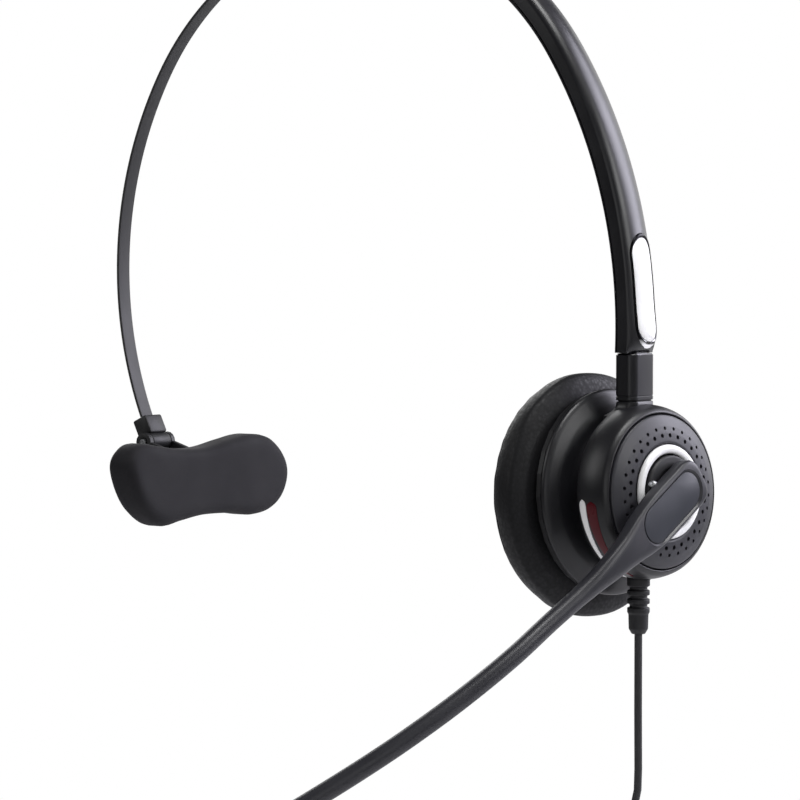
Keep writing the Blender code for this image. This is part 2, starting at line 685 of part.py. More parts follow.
def make_cap(cup):
    """Domed plate with two rings of small holes, and the bright ring round the hub's well."""
    floor, ledge = WELL_FLOOR, RING_LOW - GAP
    shaft_hole = HUB_SHAFT_R + GAP
    profile = [(PLATE_R, RIM_AT + 0.3), (PLATE_R, RIM_AT - 1.2), (PLATE_R - 0.5, RIM_AT - 1.2),
               (RING_R + 0.9, RIM_AT + 0.7), (RING_R - RING_W - 0.4, floor - WELL_FLOOR_T),
               (shaft_hole, floor - WELL_FLOOR_T), (shaft_hole, floor),
               (HUB_R + GAP, floor), (HUB_R + GAP, ledge), (RING_R + GAP, ledge),
               (RING_R + GAP + 0.3, RIM_AT + 2.2), (HOLE_ROW_IN, RIM_AT + 1.9), (HOLE_ROW_OUT, RIM_AT + 1.5)]
    plate = lathe("cap_plate", profile, "grey_plastic", cup, None, 16)
    pitch = 2 * pi / HOLES
    rows = (("in", HOLE_ROW_IN, HOLE_IN_R, 0), ("out", HOLE_ROW_OUT, HOLE_OUT_R, 0.5))
    for row, radius, size, shift in rows:
        bm = bmesh.new()
        for k in range(HOLES):
            angle = (k + shift) * pitch
            place = Matrix.Translation((radius * cos(angle), radius * sin(angle), RIM_AT))
            bmesh.ops.create_cone(bm, cap_ends=True, segments=6, radius1=size, radius2=size, depth=6,
                                  matrix=place)
        cut(plate, add(f"cut_holes_{row}", mesh_of(f"cut_holes_{row}", bm), None, cup, None, cutters))

    ring_low, ring_high = RING_LOW, HUB_TOP
    inner = RING_R - RING_W
    lathe("pivot_ring", [(RING_R - 0.3, ring_high), (RING_R, ring_high - 0.3), (RING_R, ring_low),
                         (inner, ring_low), (inner, ring_high - 0.3), (inner + 0.3, ring_high)],
          "silver_trim", cup, None, 32)


def make_pivot(cup):
    """Hub that turns in the cap's well, with its washer, friction spring and screw inside the drum."""
    top, low, shaft_end = HUB_TOP, WELL_FLOOR + GAP, WELL_FLOOR - HUB_DEEP
    blind = top - 1.0
    profile = [(HUB_R - 0.3, top), (HUB_R, top - 0.3), (HUB_R, low), (HUB_SHAFT_R, low),
               (HUB_SHAFT_R, shaft_end), (HUB_BORE_R, shaft_end), (HUB_BORE_R, blind), (0, blind), (0, top)]
    hub = lathe("boom_hub", profile, "black_plastic", cup, None, 28)
    peg_place = at(*PEG_AT, 0)
    cut(hub, cylinder("cut_hub_peg", PEG_R + GAP, top - 0.9, top + 2, None, cup, peg_place, 16, cutters))
    cylinder("hub_index_peg", PEG_R, top - 0.6, top + 0.9, "steel", cup, peg_place, 16)
    washer = WELL_FLOOR - WELL_FLOOR_T - GAP
    washer_in = HUB_SHAFT_R + 0.4
    lathe("friction_washer", [(WASHER_R, washer), (WASHER_R, washer - WASHER_T),
                              (washer_in, washer - WASHER_T), (washer_in, washer)], "steel", cup, None, 20)
    retainer = shaft_end - GAP
    retainer_low = retainer - RETAINER_T
    lathe("hub_retainer", [(RETAINER_R, retainer), (RETAINER_R, retainer_low), (HUB_BORE_R, retainer_low),
                           (HUB_BORE_R, retainer)], "steel", cup, None, 20)
    tip, head = blind - 0.4, retainer_low - GAP
    socket_r = 0.9
    lathe("hub_screw", [(0, tip), (SCREW_R, tip), (SCREW_R, head), (SCREW_HEAD_R, head),
                        (SCREW_HEAD_R, head - 1.0), (SCREW_HEAD_R - 0.4, head - 1.4), (socket_r, head - 1.4),
                        (socket_r, head - 0.7), (0, head - 0.7)], "steel", cup, None, 16)


def make_speaker(cup):
    """Baffle behind the flange with the driver on its cup side and the cushion on its ear side."""
    baffle_high = FLANGE_AT - FLANGE_T - GAP
    baffle_low = baffle_high - BAFFLE_T
    baffle_r = FLANGE_R - 0.4
    baffle = lathe("baffle_plate", [(0, baffle_high), (baffle_r, baffle_high), (baffle_r, baffle_low),
                                    (0, baffle_low)], "black_plastic", cup, None, 28)
    bm = bmesh.new()
    for ring, count in ((0, 1), (SOUND_HOLE_RING, 6)):
        for k in range(count):
            angle = 2 * pi * k / count
            place = Matrix.Translation((ring * cos(angle), ring * sin(angle), baffle_low))
            bmesh.ops.create_cone(bm, cap_ends=True, segments=6, radius1=SOUND_HOLE_R,
                                  radius2=SOUND_HOLE_R, depth=6, matrix=place)
    cut(baffle, add("cut_baffle_holes", mesh_of("cut_baffle_holes", bm), None, cup, None, cutters))

    low = baffle_high + GAP
    r, rim_h, back = DRIVER_R, 1.2, low + DRIVER_H
    lathe("speaker_frame", [(r, low + rim_h), (r, low), (r - DRIVER_RIM_W, low),
                            (r - DRIVER_RIM_W, low + rim_h), (MAGNET_R, back - 1.0), (MAGNET_R, back),
                            (MAGNET_R + 1.0, back)], "grey_plastic", cup, None, 16)
    magnet_low = back + GAP
    magnet_high = magnet_low + MAGNET_T
    lathe("speaker_magnet", [(0, magnet_high), (MAGNET_R - 0.4, magnet_high), (MAGNET_R, magnet_high - 0.4),
                             (MAGNET_R, magnet_low), (0, magnet_low)], "steel", cup, None, 20)
    skin = 0.25
    r = DRIVER_R - DRIVER_RIM_W - GAP
    dome = [(0, low + 1.3), (3.5, low + 1.0), (r - 2.5, low + 0.3 + skin), (r, low + skin)]
    under = [(r, low), (r - 2.5, low + 0.3), (3.5, low + 1.0 - skin), (0, low + 1.3 - skin)]
    lathe("speaker_diaphragm", dome + under, "clear_plastic", cup, None, 20)

    cloth_high = baffle_low - GAP
    cloth_low = cloth_high - CLOTH_T
    lathe("speaker_cloth", [(0, cloth_high), (CLOTH_R, cloth_high), (CLOTH_R, cloth_low), (0, cloth_low)],
          "cloth", cup, None, 24)

    # cushion: small rounding on the flange side, deep rounding on the ear side
    high = cloth_low - GAP
    face = high - CUSHION_T
    mid = high - 4.4
    flat_in, ring_r = CUSHION_FLAT
    rounding = CUSHION_R - ring_r
    outer = [(ring_r + rounding * cos(t), mid + (high - mid) * sin(t)) for t in
             [radians(a) for a in (70, 45, 22, 0)]]
    outer += [(ring_r + rounding * cos(t), mid - (mid - face) * sin(t)) for t in
              [radians(a) for a in (22, 45, 65, 80)]]
    hole = CUSHION_HOLE_R
    inner = [(ring_r, face), (flat_in, face), (hole + 1.6, face + 1.2), (hole + 0.3, face + 4.0),
             (hole, face + 8.0),
             (hole, high), (ring_r, high)]
    lathe("ear_cushion", outer + inner, "leatherette", cup, None, 32)

    board_at = magnet_high + GAP + 0.2 + BOARD[2] / 2
    box("terminal_board", BOARD, (0, -1.0, board_at), "board", cup)


def make_relief():
    """Ribbed strain relief under the drum, round the cord's first stretch."""
    top = SHOULDER_Z + RELIEF_NECK_L
    low = SHOULDER_Z - RELIEF_L
    ribs_from = SHOULDER_Z - RELIEF_COLLAR - 0.2
    hole = CORD_D / 2 + GAP
    blind = low + CORD_IN_RELIEF
    profile = [(RELIEF_NECK_R, top), (RELIEF_NECK_R, SHOULDER_Z), (RELIEF_R, SHOULDER_Z),
               (RELIEF_R, SHOULDER_Z - RELIEF_COLLAR)]
    for k in range(RIBS):
        z = ribs_from - k * RIB_PITCH
        profile += [(RELIEF_R - 0.6, z), (RELIEF_R - 0.6, z - 0.9), (RELIEF_R - 0.1, z - 1.0),
                    (RELIEF_R - 0.1, z - 2.0)]
    profile += [(RELIEF_R - 0.5, ribs_from - RIBS * RIB_PITCH), (RELIEF_R - 0.6, low + 1.0),
                (RELIEF_R - 1.3, low), (hole, low), (hole, blind), (0, blind), (0, top)]
    lathe("strain_relief", profile, "rubber", None, at(RELIEF_X, 0, 0), 16)


# ---------------------------------------------------------------- boom and microphone

# distance along the boom, and its centre line's height over the cap's rim plane
PADDLE_RISE = HUB_TOP - RIM_AT + GAP + PADDLE_T / 2
BOOM_ROUTE = [(-9, PADDLE_RISE), (24, PADDLE_RISE), (34, 5.4), (44, 3.7), (54, 2.0), (66, 0.4), (78, -2.4),
              (90, -6.2), (104, -12.0), (120, -20.4), (136, -30.2), (BOOM_L, -41.2)]


def smooth_value(table, x):
    """Read a smooth curve (cubic Hermite) through a table of (x, y)."""
    last = len(table) - 1
    k = 0
    while k < last - 1 and x > table[k + 1][0]:
        k += 1
    (x0, y0), (x1, y1) = table[k], table[k + 1]
    before, after = table[max(k - 1, 0)], table[min(k + 2, last)]
    slope0 = (y1 - before[1]) / (x1 - before[0])
    slope1 = (after[1] - y0) / (after[0] - x0)
    step = x1 - x0
    t = (x - x0) / step
    return ((2 * t ** 3 - 3 * t ** 2 + 1) * y0 + (t ** 3 - 2 * t ** 2 + t) * step * slope0
            + (3 * t ** 2 - 2 * t ** 3) * y1 + (t ** 3 - t ** 2) * step * slope1)


def boom_point(x):
    return BOOM_DIR * x + Vector((0, 0, RIM_AT + smooth_value(BOOM_ROUTE, x)))


def boom_half_width(x):
    tube = BOOM_D / 2
    paddle = PADDLE_W / 2
    table = [(-9, paddle), (0, paddle), (10, paddle), (18, paddle - 0.9), (24, paddle - 2.1),
             (30, tube + 1.1), (38, tube + 0.3), (46, tube), (60, tube), (BOOM_L, tube)]
    return smooth_value(table, x)


def boom_half_thickness(x):
    table = [(-9, PADDLE_T / 2), (10, PADDLE_T / 2), (30, PADDLE_T / 2), (44, BOOM_D / 2), (60, BOOM_D / 2),
             (BOOM_L, BOOM_D / 2)]
    return smooth_value(table, x)


def boom_ring(x, shrink=1.0):
    """Section across the boom: a rounded box on the paddle, round on the tube."""
    here = boom_point(x)
    ahead = (boom_point(x + 0.5) - boom_point(x - 0.5)).normalized()
    out = ahead.cross(BOOM_SIDE).normalized()
    if out.z < 0:
        out = -out
    half_w = boom_half_width(x) * shrink
    half_t = boom_half_thickness(x)
    power = 2.0 + 2.6 * min(1.0, max(0.0, (half_w - BOOM_D / 2) / (PADDLE_W / 2 - BOOM_D / 2)))
    ring = []
    for k in range(16):
        a = 2 * pi * (k + 0.5) / 16
        u = abs(cos(a)) ** (2 / power) * (1 if cos(a) > 0 else -1)
        v = abs(sin(a)) ** (2 / power) * (1 if sin(a) > 0 else -1)
        ring.append(here + BOOM_SIDE * (half_w * u) + out * (half_t * v))
    return ring


def make_boom(cup):
    """Paddle over the hub, narrowing into the tube that curves in toward the mouth."""
    rounded_end = [(-6.9, 0.62), (-6.4, 0.80), (-5.2, 0.93)]
    paddle = [-3.2, 1, 10, 16, 20, 24, 28, 33, 38, 44]
    tube_steps = 14
    tube = [paddle[-1] + (BOOM_L - paddle[-1]) * k / tube_steps for k in range(1, tube_steps + 1)]
    rings = [boom_ring(x, share) for x, share in rounded_end] + [boom_ring(x) for x in paddle + tube]
    boom = loft("boom_arm", rings, "grey_plastic", cup)

    # panel let into the paddle's outer face
    top = RIM_AT + PADDLE_RISE + PADDLE_T / 2
    heading = Matrix.Rotation(atan2(BOOM_DIR.y, BOOM_DIR.x) - pi / 2, 4, "Z")
    panel_at = at(*(BOOM_DIR * INSERT_AT), heading)
    recess = stadium(INSERT_L + 2 * GAP, INSERT_W + 2 * GAP)
    cut(boom, prism("cut_insert", recess, top - 0.9, top + 2, None, cup, panel_at, cutters))
    prism("boom_insert", stadium(INSERT_L, INSERT_W), top - 0.6, top + 0.05, "grey_plastic", cup, panel_at)
    cut(boom, cylinder("cut_peg_room", PEG_R + 0.5, RIM_AT, HUB_TOP + 1.3, None, cup, at(*PEG_AT, 0), 16,
                       cutters))


def make_microphone(cup):
    """Two-part pod on the boom's end, its port facing the mouth, with the capsule inside."""
    tip = boom_point(BOOM_L)
    ahead = (boom_point(BOOM_L) - boom_point(BOOM_L - 2)).normalized()
    mouth = (-BOOM_SIDE.cross(ahead)).normalized()
    if mouth.z > 0:
        mouth = -mouth
    side = ahead.cross(mouth)
    frame = Matrix((side, ahead, mouth)).transposed().to_4x4()
    frame.translation = (tip + ahead * (GAP + MIC_L / 2)) * MM

    half = MIC_T / 2
    heights = [(half - depth, share) for depth, share in MIC_ROUND] + [(GAP / 2, 1.0)]
    outline = stadium(MIC_L, MIC_W, 5)
    front = [[Vector((x * share, y * share, h)) for x, y in outline] for h, share in reversed(heights)]
    back = [[Vector((x * share, y * share, -h)) for x, y in outline] for h, share in heights]
    wall = half - MIC_WALL
    for name, rings in (("mic_back_shell", back), ("mic_front_shell", front)):
        pod = loft(name, rings, "black_plastic", cup)
        pod.matrix_local = frame
        cut(pod, cylinder(f"cut_{name}", MIC_ROOM_R, -wall, wall, None, cup, frame, 16, cutters))
        if rings is front:
            cut(pod, prism("cut_mic_port", stadium(*MIC_PORT), 0, MIC_T, None, cup, frame, cutters))
    cylinder("mic_capsule", MIC_ROOM_R - GAP, -wall + GAP, wall - GAP, "steel", cup, frame, 16)


# ---------------------------------------------------------------- cord, coil and plug

def smooth_route(points, spacing):
    """Points at an even spacing on a smooth curve through the route's points."""
    fine = []
    for k in range(len(points) - 1):
        p0, p1, p2 = points[max(k - 1, 0)], points[k], points[k + 1]
        p3 = points[min(k + 2, len(points) - 1)]
        for j in range(24):
            t = j / 24
            fine.append(0.5 * ((2 * p1) + (p2 - p0) * t + (2 * p0 - 5 * p1 + 4 * p2 - p3) * t ** 2
                               + (3 * p1 - p0 - 3 * p2 + p3) * t ** 3))
    fine.append(points[-1])
    total = sum((b - a).length for a, b in zip(fine, fine[1:]))
    count = max(2, round(total / spacing))
    even, walked, k = [fine[0]], 0.0, 0
    for n in range(1, count):
        goal = total * n / count
        while walked + (fine[k + 1] - fine[k]).length < goal:
            walked += (fine[k + 1] - fine[k]).length
            k += 1
        step = fine[k + 1] - fine[k]
        even.append(fine[k] + step * ((goal - walked) / step.length))
    return even + [fine[-1]]


def cord_tube(name, route):
    curve = bpy.data.curves.new(name, "CURVE")
    curve.dimensions = "3D"
    curve.bevel_depth = CORD_D / 2 * MM
    curve.bevel_resolution = 2
    curve.use_fill_caps = True
    points = smooth_route(route, 2.5 * CORD_D)
    spline = curve.splines.new("POLY")
    spline.points.add(len(points) - 1)
    for point, co in zip(spline.points, points):
        point.co = (*(co * MM), 1)
    tube = bpy.data.objects.new(name, curve)
    parts.objects.link(tube)
    curve.materials.append(MATERIALS["rubber"])


def make_cord():
    cord_tube("cord_lead", LEAD_ROUTE)
    cord_tube("cord_tail", TAIL_ROUTE)
    profile = [(COIL_R + COIL_TUBE_R * cos(radians(a)), COIL_TUBE_R * sin(radians(a)))
               for a in range(90, -270, -36)]
    flat = Matrix.Rotation(pi / 2, 4, "X")
    lathe("cord_coil", profile, "rubber", None, at(*COIL_AT, flat), 16)
    tie_out, tie_half = TIE_R + TIE_T, TIE_L / 2
    lathe("cord_tie", [(tie_out, tie_half), (tie_out, -tie_half), (TIE_R, -tie_half), (TIE_R, tie_half)],
          "rubber", None, at(*(COIL_AT - Vector((COIL_R, 0, 0)))), 16)


def make_plug():
    """Four-way modular plug, nose down, on the end of the tail."""
    x, y, boot_low = TAIL_ROUTE[-1]
    boot_top = boot_low + BOOT_L
    hole = CORD_D / 2 + GAP
    body_top = boot_low - GAP
    lathe("plug_boot", [(1.9, boot_top), (2.6, boot_low), (hole, boot_low), (hole, boot_top)], "rubber", None,
          at(x, y, 0), 16)
    body = box("plug_body", (PLUG_H, PLUG_W, PLUG_L), (x, y, body_top - PLUG_L / 2), "clear_plastic", None,
               None, 0.3)
    low = body_top - PLUG_L
    face, slot_deep = x + PLUG_H / 2, 1.5
    deep, wide, tall = CONTACT
    slot_h = tall + 2 * GAP + 0.2
    for k in range(4):
        slot_y = y + (k - 1.5) * CONTACT_PITCH
        slot_at = low + 0.5 + slot_h / 2
        slot = box(f"cut_contact_{k}", (2 * slot_deep, wide + GAP, slot_h), (face, slot_y, slot_at), None,
                   None, None, 0, cutters)
        cut(body, slot)
        box(f"plug_contact_{k + 1}", CONTACT, (face - slot_deep + 0.1 + deep / 2, slot_y, slot_at), "gold")
    latch_x = x - PLUG_H / 2 - 1.4
    latch = box("join_latch", (LATCH_T, LATCH_W, LATCH_L), (latch_x, y, low + 0.9 + LATCH_L / 2), None, None,
                None, 0, cutters)
    root = box("join_latch_root", (2.0, LATCH_W, LATCH_T), (latch_x + 0.6, y, low + 1.35), None, None,
               None, 0, cutters)
    join(body, latch, root)


# ---------------------------------------------------------------- build

make_band()
make_rivets()
make_pad()
make_pad_carrier()
make_arm()
make_slider()
cup_axis = empty("cup_axis", CUP_FRAME)
make_cup(cup_axis)
make_accents(cup_axis)
make_cap(cup_axis)
make_pivot(cup_axis)
make_speaker(cup_axis)
make_relief()
make_boom(cup_axis)
make_microphone(cup_axis)
make_cord()
make_plug()
bpy.context.view_layer.update()
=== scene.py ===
"""Looks of a single-ear office headset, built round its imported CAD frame.

Shapes are worked out in millimetres in a piece's own frame and placed in metres by its mesh.
"""
import json
from math import atan2, cos, dist, exp, pi, radians, sin, sqrt

import bmesh
import bpy
from mathutils import Matrix, Vector, noise


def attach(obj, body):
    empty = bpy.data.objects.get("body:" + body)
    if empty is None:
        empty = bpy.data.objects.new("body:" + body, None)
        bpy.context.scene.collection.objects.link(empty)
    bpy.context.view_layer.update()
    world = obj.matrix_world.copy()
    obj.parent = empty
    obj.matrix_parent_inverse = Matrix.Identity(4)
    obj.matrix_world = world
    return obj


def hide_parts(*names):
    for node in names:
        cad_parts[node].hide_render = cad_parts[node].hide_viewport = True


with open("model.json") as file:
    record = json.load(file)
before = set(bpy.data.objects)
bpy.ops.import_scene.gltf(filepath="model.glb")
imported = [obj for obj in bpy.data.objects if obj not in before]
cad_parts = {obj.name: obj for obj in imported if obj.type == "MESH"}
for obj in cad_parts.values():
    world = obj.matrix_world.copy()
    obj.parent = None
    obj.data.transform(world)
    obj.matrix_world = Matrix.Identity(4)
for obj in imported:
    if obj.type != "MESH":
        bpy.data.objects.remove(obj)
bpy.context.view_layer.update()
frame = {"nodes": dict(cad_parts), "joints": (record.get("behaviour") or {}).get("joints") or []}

MM = 0.001
TO_METRES = Matrix.Scale(MM, 4)
scene = bpy.context.scene

# ---------------------------------------------------------------- sizes taken from the frame

joints = {j["name"]: j for j in frame["joints"]}
CUP = Vector(joints["cup_swivel"]["pos_m"]) / MM
OUTWARD = -Vector(joints["boom_rotation"]["axis"]).normalized()
BACKWARD = Vector((0, 0, 1)).cross(OUTWARD).normalized()
UPWARD = OUTWARD.cross(BACKWARD)
CUP_FRAME = Matrix((BACKWARD, UPWARD, OUTWARD)).transposed().to_4x4()
CUP_FRAME.translation = CUP
WORLD = Matrix.Identity(4)

# headband strip: radii of its three arcs, the angles where they meet, and where it ends
CROWN_R, LEFT_R, RIGHT_R = 76.2, 105.6, 132.8
CROWN_TO_LEFT, CROWN_TO_RIGHT = radians(148.6), radians(32.7)
BAND_LEFT_END, BAND_IN_ARM = radians(205.6), radians(24.0)
BAND_W, BAND_T = 5.0, 0.8
# arm: the angles of its ends, its width at each, and its faces' distance from the strip's centre line
ARM_TOP, ARM_LIP = radians(48.0), radians(-2.3)
ARM_W_TOP, ARM_W_LIP = 11.0, 13.4
ARM_OUT, ARM_IN = 3.7, 2.9
ARM_CROWN = 2.5                              # rise of the outer face from its side edge to its middle
ARM_RIM, ARM_SPLIT = -1.4, -1.7              # where the shell ends, and where the cover under it begins
CHANNEL_HALF, CHANNEL_ROOF = 4.2, 1.2        # channel under the shell, for the slider
BADGE_AT, BADGE_L, BADGE_W = radians(4.4), 27.6, 10.2
STEM_W, STEM_T, STEM_L = 11.8, 5.8, 11.6
# ear cup: radii, and places along its axis, outward from the swivel
DRUM_R, NECK_R, FLANGE_R, PLATE_R = 20.8, 17.2, 26.2, 19.3
RIM_AT, DRUM_BACK, FLANGE_AT = 9.1, -1.2, -7.0
RING_R, RING_W, HUB_R = 11.8, 2.2, 9.1
HUB_TOP = RIM_AT + 3.6
WELL_FLOOR = RIM_AT + 0.9
CUP_TURN = radians(12)                       # how far the cup is turned to the front at rest
HOLES = 30
HOLE_ROWS = [(14.1, 0.56, 0.0), (15.9, 0.46, 0.5)]       # row's radius, hole's radius, shift in pitches
CUSHION_SETTLE = 0.7                         # how far the soft ring hangs down on its flange
BOOM_DROP, BOOM_D, BOOM_L = radians(33.0), 4.7, 152.0
PADDLE_W, PADDLE_T = 12.6, 4.6
CORD_D = 2.0
COIL_R = 15.4
FLOOR_Z, FLOOR_HALF = -0.42, 6               # metres: below the plug, and wide enough to have no edge


def radial(angle):
    """The headband's outward direction at this angle: 0 is to the cup's side, and 90 degrees is up."""
    return Vector((cos(angle), 0, sin(angle)))


CROWN_C = Vector((0, 0, -(CROWN_R - BAND_T / 2)))
LEFT_C = CROWN_C + (CROWN_R - LEFT_R) * radial(CROWN_TO_LEFT)
RIGHT_C = CROWN_C + (CROWN_R - RIGHT_R) * radial(CROWN_TO_RIGHT)


def band_point(angle):
    """Centre line of the headband where its outward normal has this angle."""
    if angle > CROWN_TO_LEFT:
        return LEFT_C + LEFT_R * radial(angle)
    if angle < CROWN_TO_RIGHT:
        return RIGHT_C + RIGHT_R * radial(angle)
    return CROWN_C + CROWN_R * radial(angle)


def band_frame(angle):
    """Frame on the band's centre line: X across the band, Y along it, Z outward."""
    out = radial(angle)
    along = Vector((-sin(angle), 0, cos(angle)))
    made = Matrix((along.cross(out), along, out)).transposed().to_4x4()
    made.translation = band_point(angle)
    return made


# ---------------------------------------------------------------- camera, light and floor

camera = bpy.data.objects.new("camera", bpy.data.cameras.new("camera"))
scene.collection.objects.link(camera)
# in front of the headset and to its right, level with the cup, with a long lens
camera.location = (0.4606, -0.6626, -0.0905)
aim = Vector((0.0137, 0.0, -0.1254))
camera.rotation_euler = (aim - camera.location).to_track_quat("-Z", "Y").to_euler()
camera.data.sensor_width = 36
camera.data.lens = 135.77
camera.data.clip_start, camera.data.clip_end = 0.01, 20
scene.camera = camera
scene.view_settings.view_transform = "Standard"


def srgb(code):
    """An sRGB hex colour as linear numbers."""
    parts = [int(code[i:i + 2], 16) / 255 for i in (1, 3, 5)]
    return [c / 12.92 if c <= 0.04045 else ((c + 0.055) / 1.055) ** 2.4 for c in parts] + [1.0]


def node(tree, kind, settings=None, **inputs):
    """Add a node with its settings; an input is a value, or another node's output socket."""
    made = tree.nodes.new(kind)
    for key, value in (settings or {}).items():
        setattr(made, key, value)
    for key, value in inputs.items():
        socket = made.inputs[int(key[1:])] if key[0] == "_" else made.inputs[key.replace("_", " ")]
        if isinstance(value, bpy.types.NodeSocket):
            tree.links.new(value, socket)
        else:
            socket.default_value = value
    return made


def softbox(name, place, aim_at, size, power, tint="#ffffff"):
    """An area light at this place, with its size in metres and its power in watts."""
    light = bpy.data.lights.new(name, "AREA")
    light.shape = "RECTANGLE"
    light.size, light.size_y = size
    light.energy = power
    light.color = srgb(tint)[:3]
    lamp = bpy.data.objects.new(name, light)
    lamp.location = place
    lamp.rotation_euler = (Vector(aim_at) - Vector(place)).to_track_quat("-Z", "Y").to_euler()
    scene.collection.objects.link(lamp)


AT_MIDDLE, AT_CUP = (0.0, 0, -0.12), (0.06, 0, -0.12)
# front left, for the drum's face and the pad
softbox("key_softbox", (-0.75, -0.85, 0.55), (0.02, 0, -0.12), (0.6, 0.6), 3.4)
# behind on the right, for the long highlight down the arm
softbox("side_softbox", (0.62, 0.72, 0.28), AT_CUP, (0.5, 0.7), 10.5, "#e8e6f4")
softbox("right_softbox", (1.05, 0.1, 0.35), AT_CUP, (0.35, 0.5), 3.2)
# above, for the paddle, the cap and the top of the drum
softbox("top_softbox", (0.40, -0.02, 0.85), AT_CUP, (0.45, 0.35), 6.5)
# weak fills, so that no side is lost in black
softbox("rear_left_softbox", (-0.95, 0.75, 0.45), AT_MIDDLE, (0.8, 0.8), 6.0)
softbox("rear_fill", (0.1, 1.25, 0.1), AT_MIDDLE, (0.8, 0.8), 3.0)
softbox("camera_fill", (0.75, -0.95, 0.10), (0.03, 0, -0.12), (0.7, 0.7), 1.4)

# plain white behind the object, and a much weaker surround that lights it
world = bpy.data.worlds.new("studio")
scene.world = world
world.use_nodes = True
world.node_tree.nodes.clear()
sight = node(world.node_tree, "ShaderNodeLightPath")
surround = node(world.node_tree, "ShaderNodeBackground", Color=srgb("#ffffff"), Strength=0.06)
seen_white = node(world.node_tree, "ShaderNodeBackground", Color=srgb("#ffffff"), Strength=1.0)
sky = node(world.node_tree, "ShaderNodeMixShader", None, _0=sight.outputs["Is Camera Ray"],
           _1=surround.outputs[0], _2=seen_white.outputs[0])
node(world.node_tree, "ShaderNodeOutputWorld", Surface=sky.outputs[0])

# studio paper: seen as plain white, and reflected as a pale grey
paper = bpy.data.materials.new("white_studio_paper")
paper.use_nodes = True
paper.node_tree.nodes.clear()
sight = node(paper.node_tree, "ShaderNodeLightPath")
matt = node(paper.node_tree, "ShaderNodeBsdfDiffuse", Color=srgb("#d8d8d8"))
lit = node(paper.node_tree, "ShaderNodeEmission", Color=srgb("#ffffff"), Strength=1.0)
mixed = node(paper.node_tree, "ShaderNodeMixShader", None, _0=sight.outputs["Is Camera Ray"],
             _1=matt.outputs[0], _2=lit.outputs[0])
node(paper.node_tree, "ShaderNodeOutputMaterial", Surface=mixed.outputs[0])
bm = bmesh.new()
bmesh.ops.create_grid(bm, x_segments=1, y_segments=1, size=FLOOR_HALF)
bmesh.ops.translate(bm, verts=bm.verts, vec=(0, 0, FLOOR_Z))
floor_mesh = bpy.data.meshes.new("floor")
bm.to_mesh(floor_mesh)
bm.free()
floor_mesh.materials.append(paper)
floor = bpy.data.objects.new("floor", floor_mesh)
scene.collection.objects.link(floor)

# ---------------------------------------------------------------- materials


def surface(name, colour, roughness, metallic=0.0, **constants):
    """A Principled material, returned with its node tree, its shader and its Object coordinates."""
    material = bpy.data.materials.new(name)
    material.use_nodes = True
    tree = material.node_tree
    shader = tree.nodes["Principled BSDF"]
    shader.inputs["Base Color"].default_value = srgb(colour)
    shader.inputs["Roughness"].default_value = roughness
    shader.inputs["Metallic"].default_value = metallic
    for key, value in constants.items():
        shader.inputs[key.replace("_", " ")].default_value = value
    where = node(tree, "ShaderNodeTexCoord").outputs["Object"]
    return material, tree, shader, where


def moulded(name, colour, lighter, roughness, grain_mm, grain_depth_mm, **constants):
    """Spark-textured moulding: a fine even grain, and a slow drift in shade and gloss from the melt's flow.

    A real spark grain is 0.05 to 0.1 mm across, too fine to show, so it is drawn 3 to 8 times coarser.
    """
    flow_mm = 14
    material, tree, shader, where = surface(name, colour, roughness, **constants)
    grain = node(tree, "ShaderNodeTexNoise", Vector=where, Scale=1 / (grain_mm * MM), Detail=3.0,
                 Roughness=0.6)
    bump = node(tree, "ShaderNodeBump", Strength=0.3, Distance=grain_depth_mm * MM, Height=grain.outputs[0])
    tree.links.new(bump.outputs[0], shader.inputs["Normal"])
    drift = node(tree, "ShaderNodeTexNoise", Vector=where, Scale=1 / (flow_mm * MM), Detail=2.0)
    shade = node(tree, "ShaderNodeMix", {"data_type": "RGBA"}, Factor=drift.outputs[0], _6=srgb(colour),
                 _7=srgb(lighter))
    tree.links.new(shade.outputs[2], shader.inputs["Base Color"])
    gloss = node(tree, "ShaderNodeMapRange", None, _0=drift.outputs[0], _1=0.3, _2=0.7,
                 _3=roughness - 0.04, _4=roughness + 0.05)
    tree.links.new(gloss.outputs[0], shader.inputs["Roughness"])
    return material


def plated(name, colour, roughness, scratch_mm, metallic=1.0):
    """Plated or bare metal: hairline wear that only breaks the edge of a reflection.

    Real hairlines are under 0.1 mm wide, so the wear is drawn at the size where it begins to show.
    """
    material, tree, shader, where = surface(name, colour, roughness, metallic)
    wear = node(tree, "ShaderNodeTexNoise", Vector=where, Scale=1 / (scratch_mm * MM), Detail=4.0,
                Roughness=0.7)
    gloss = node(tree, "ShaderNodeMapRange", None, _0=wear.outputs[0], _1=0.35, _2=0.7, _3=roughness * 0.8,
                 _4=roughness * 1.5)
    tree.links.new(gloss.outputs[0], shader.inputs["Roughness"])
    bump = node(tree, "ShaderNodeBump", Strength=0.15, Distance=0.01 * MM, Height=wear.outputs[0])
    tree.links.new(bump.outputs[0], shader.inputs["Normal"])
    return material


# black ABS of the drum: satin moulding, deep charcoal with soft wide highlights
black_abs = moulded("satin_black_abs", "#111115", "#17171b", 0.38, 0.35, 0.012)
# soft-touch black paint on the arm and stem: smoother, with one long highlight
arm_paint = moulded("soft_touch_black_arm", "#111115", "#16161a", 0.34, 0.25, 0.006)
# grey-black ABS of the boom: a shade lighter than the drum, with a dull line of light along it
boom_abs = moulded("satin_graphite_abs", "#26262b", "#2d2d33", 0.40, 0.30, 0.0015)
# smooth ABS of the paddle's panel: a little cooler and glossier than the boom round it
panel_abs = moulded("smooth_graphite_panel", "#303238", "#363840", 0.36, 0.30, 0.004)
# grey ABS of the cap: matt, so that its dome shades evenly from one side to the other
cap_abs = moulded("matt_grey_cap_abs", "#2a2a2f", "#333339", 0.44, 0.32, 0.012)
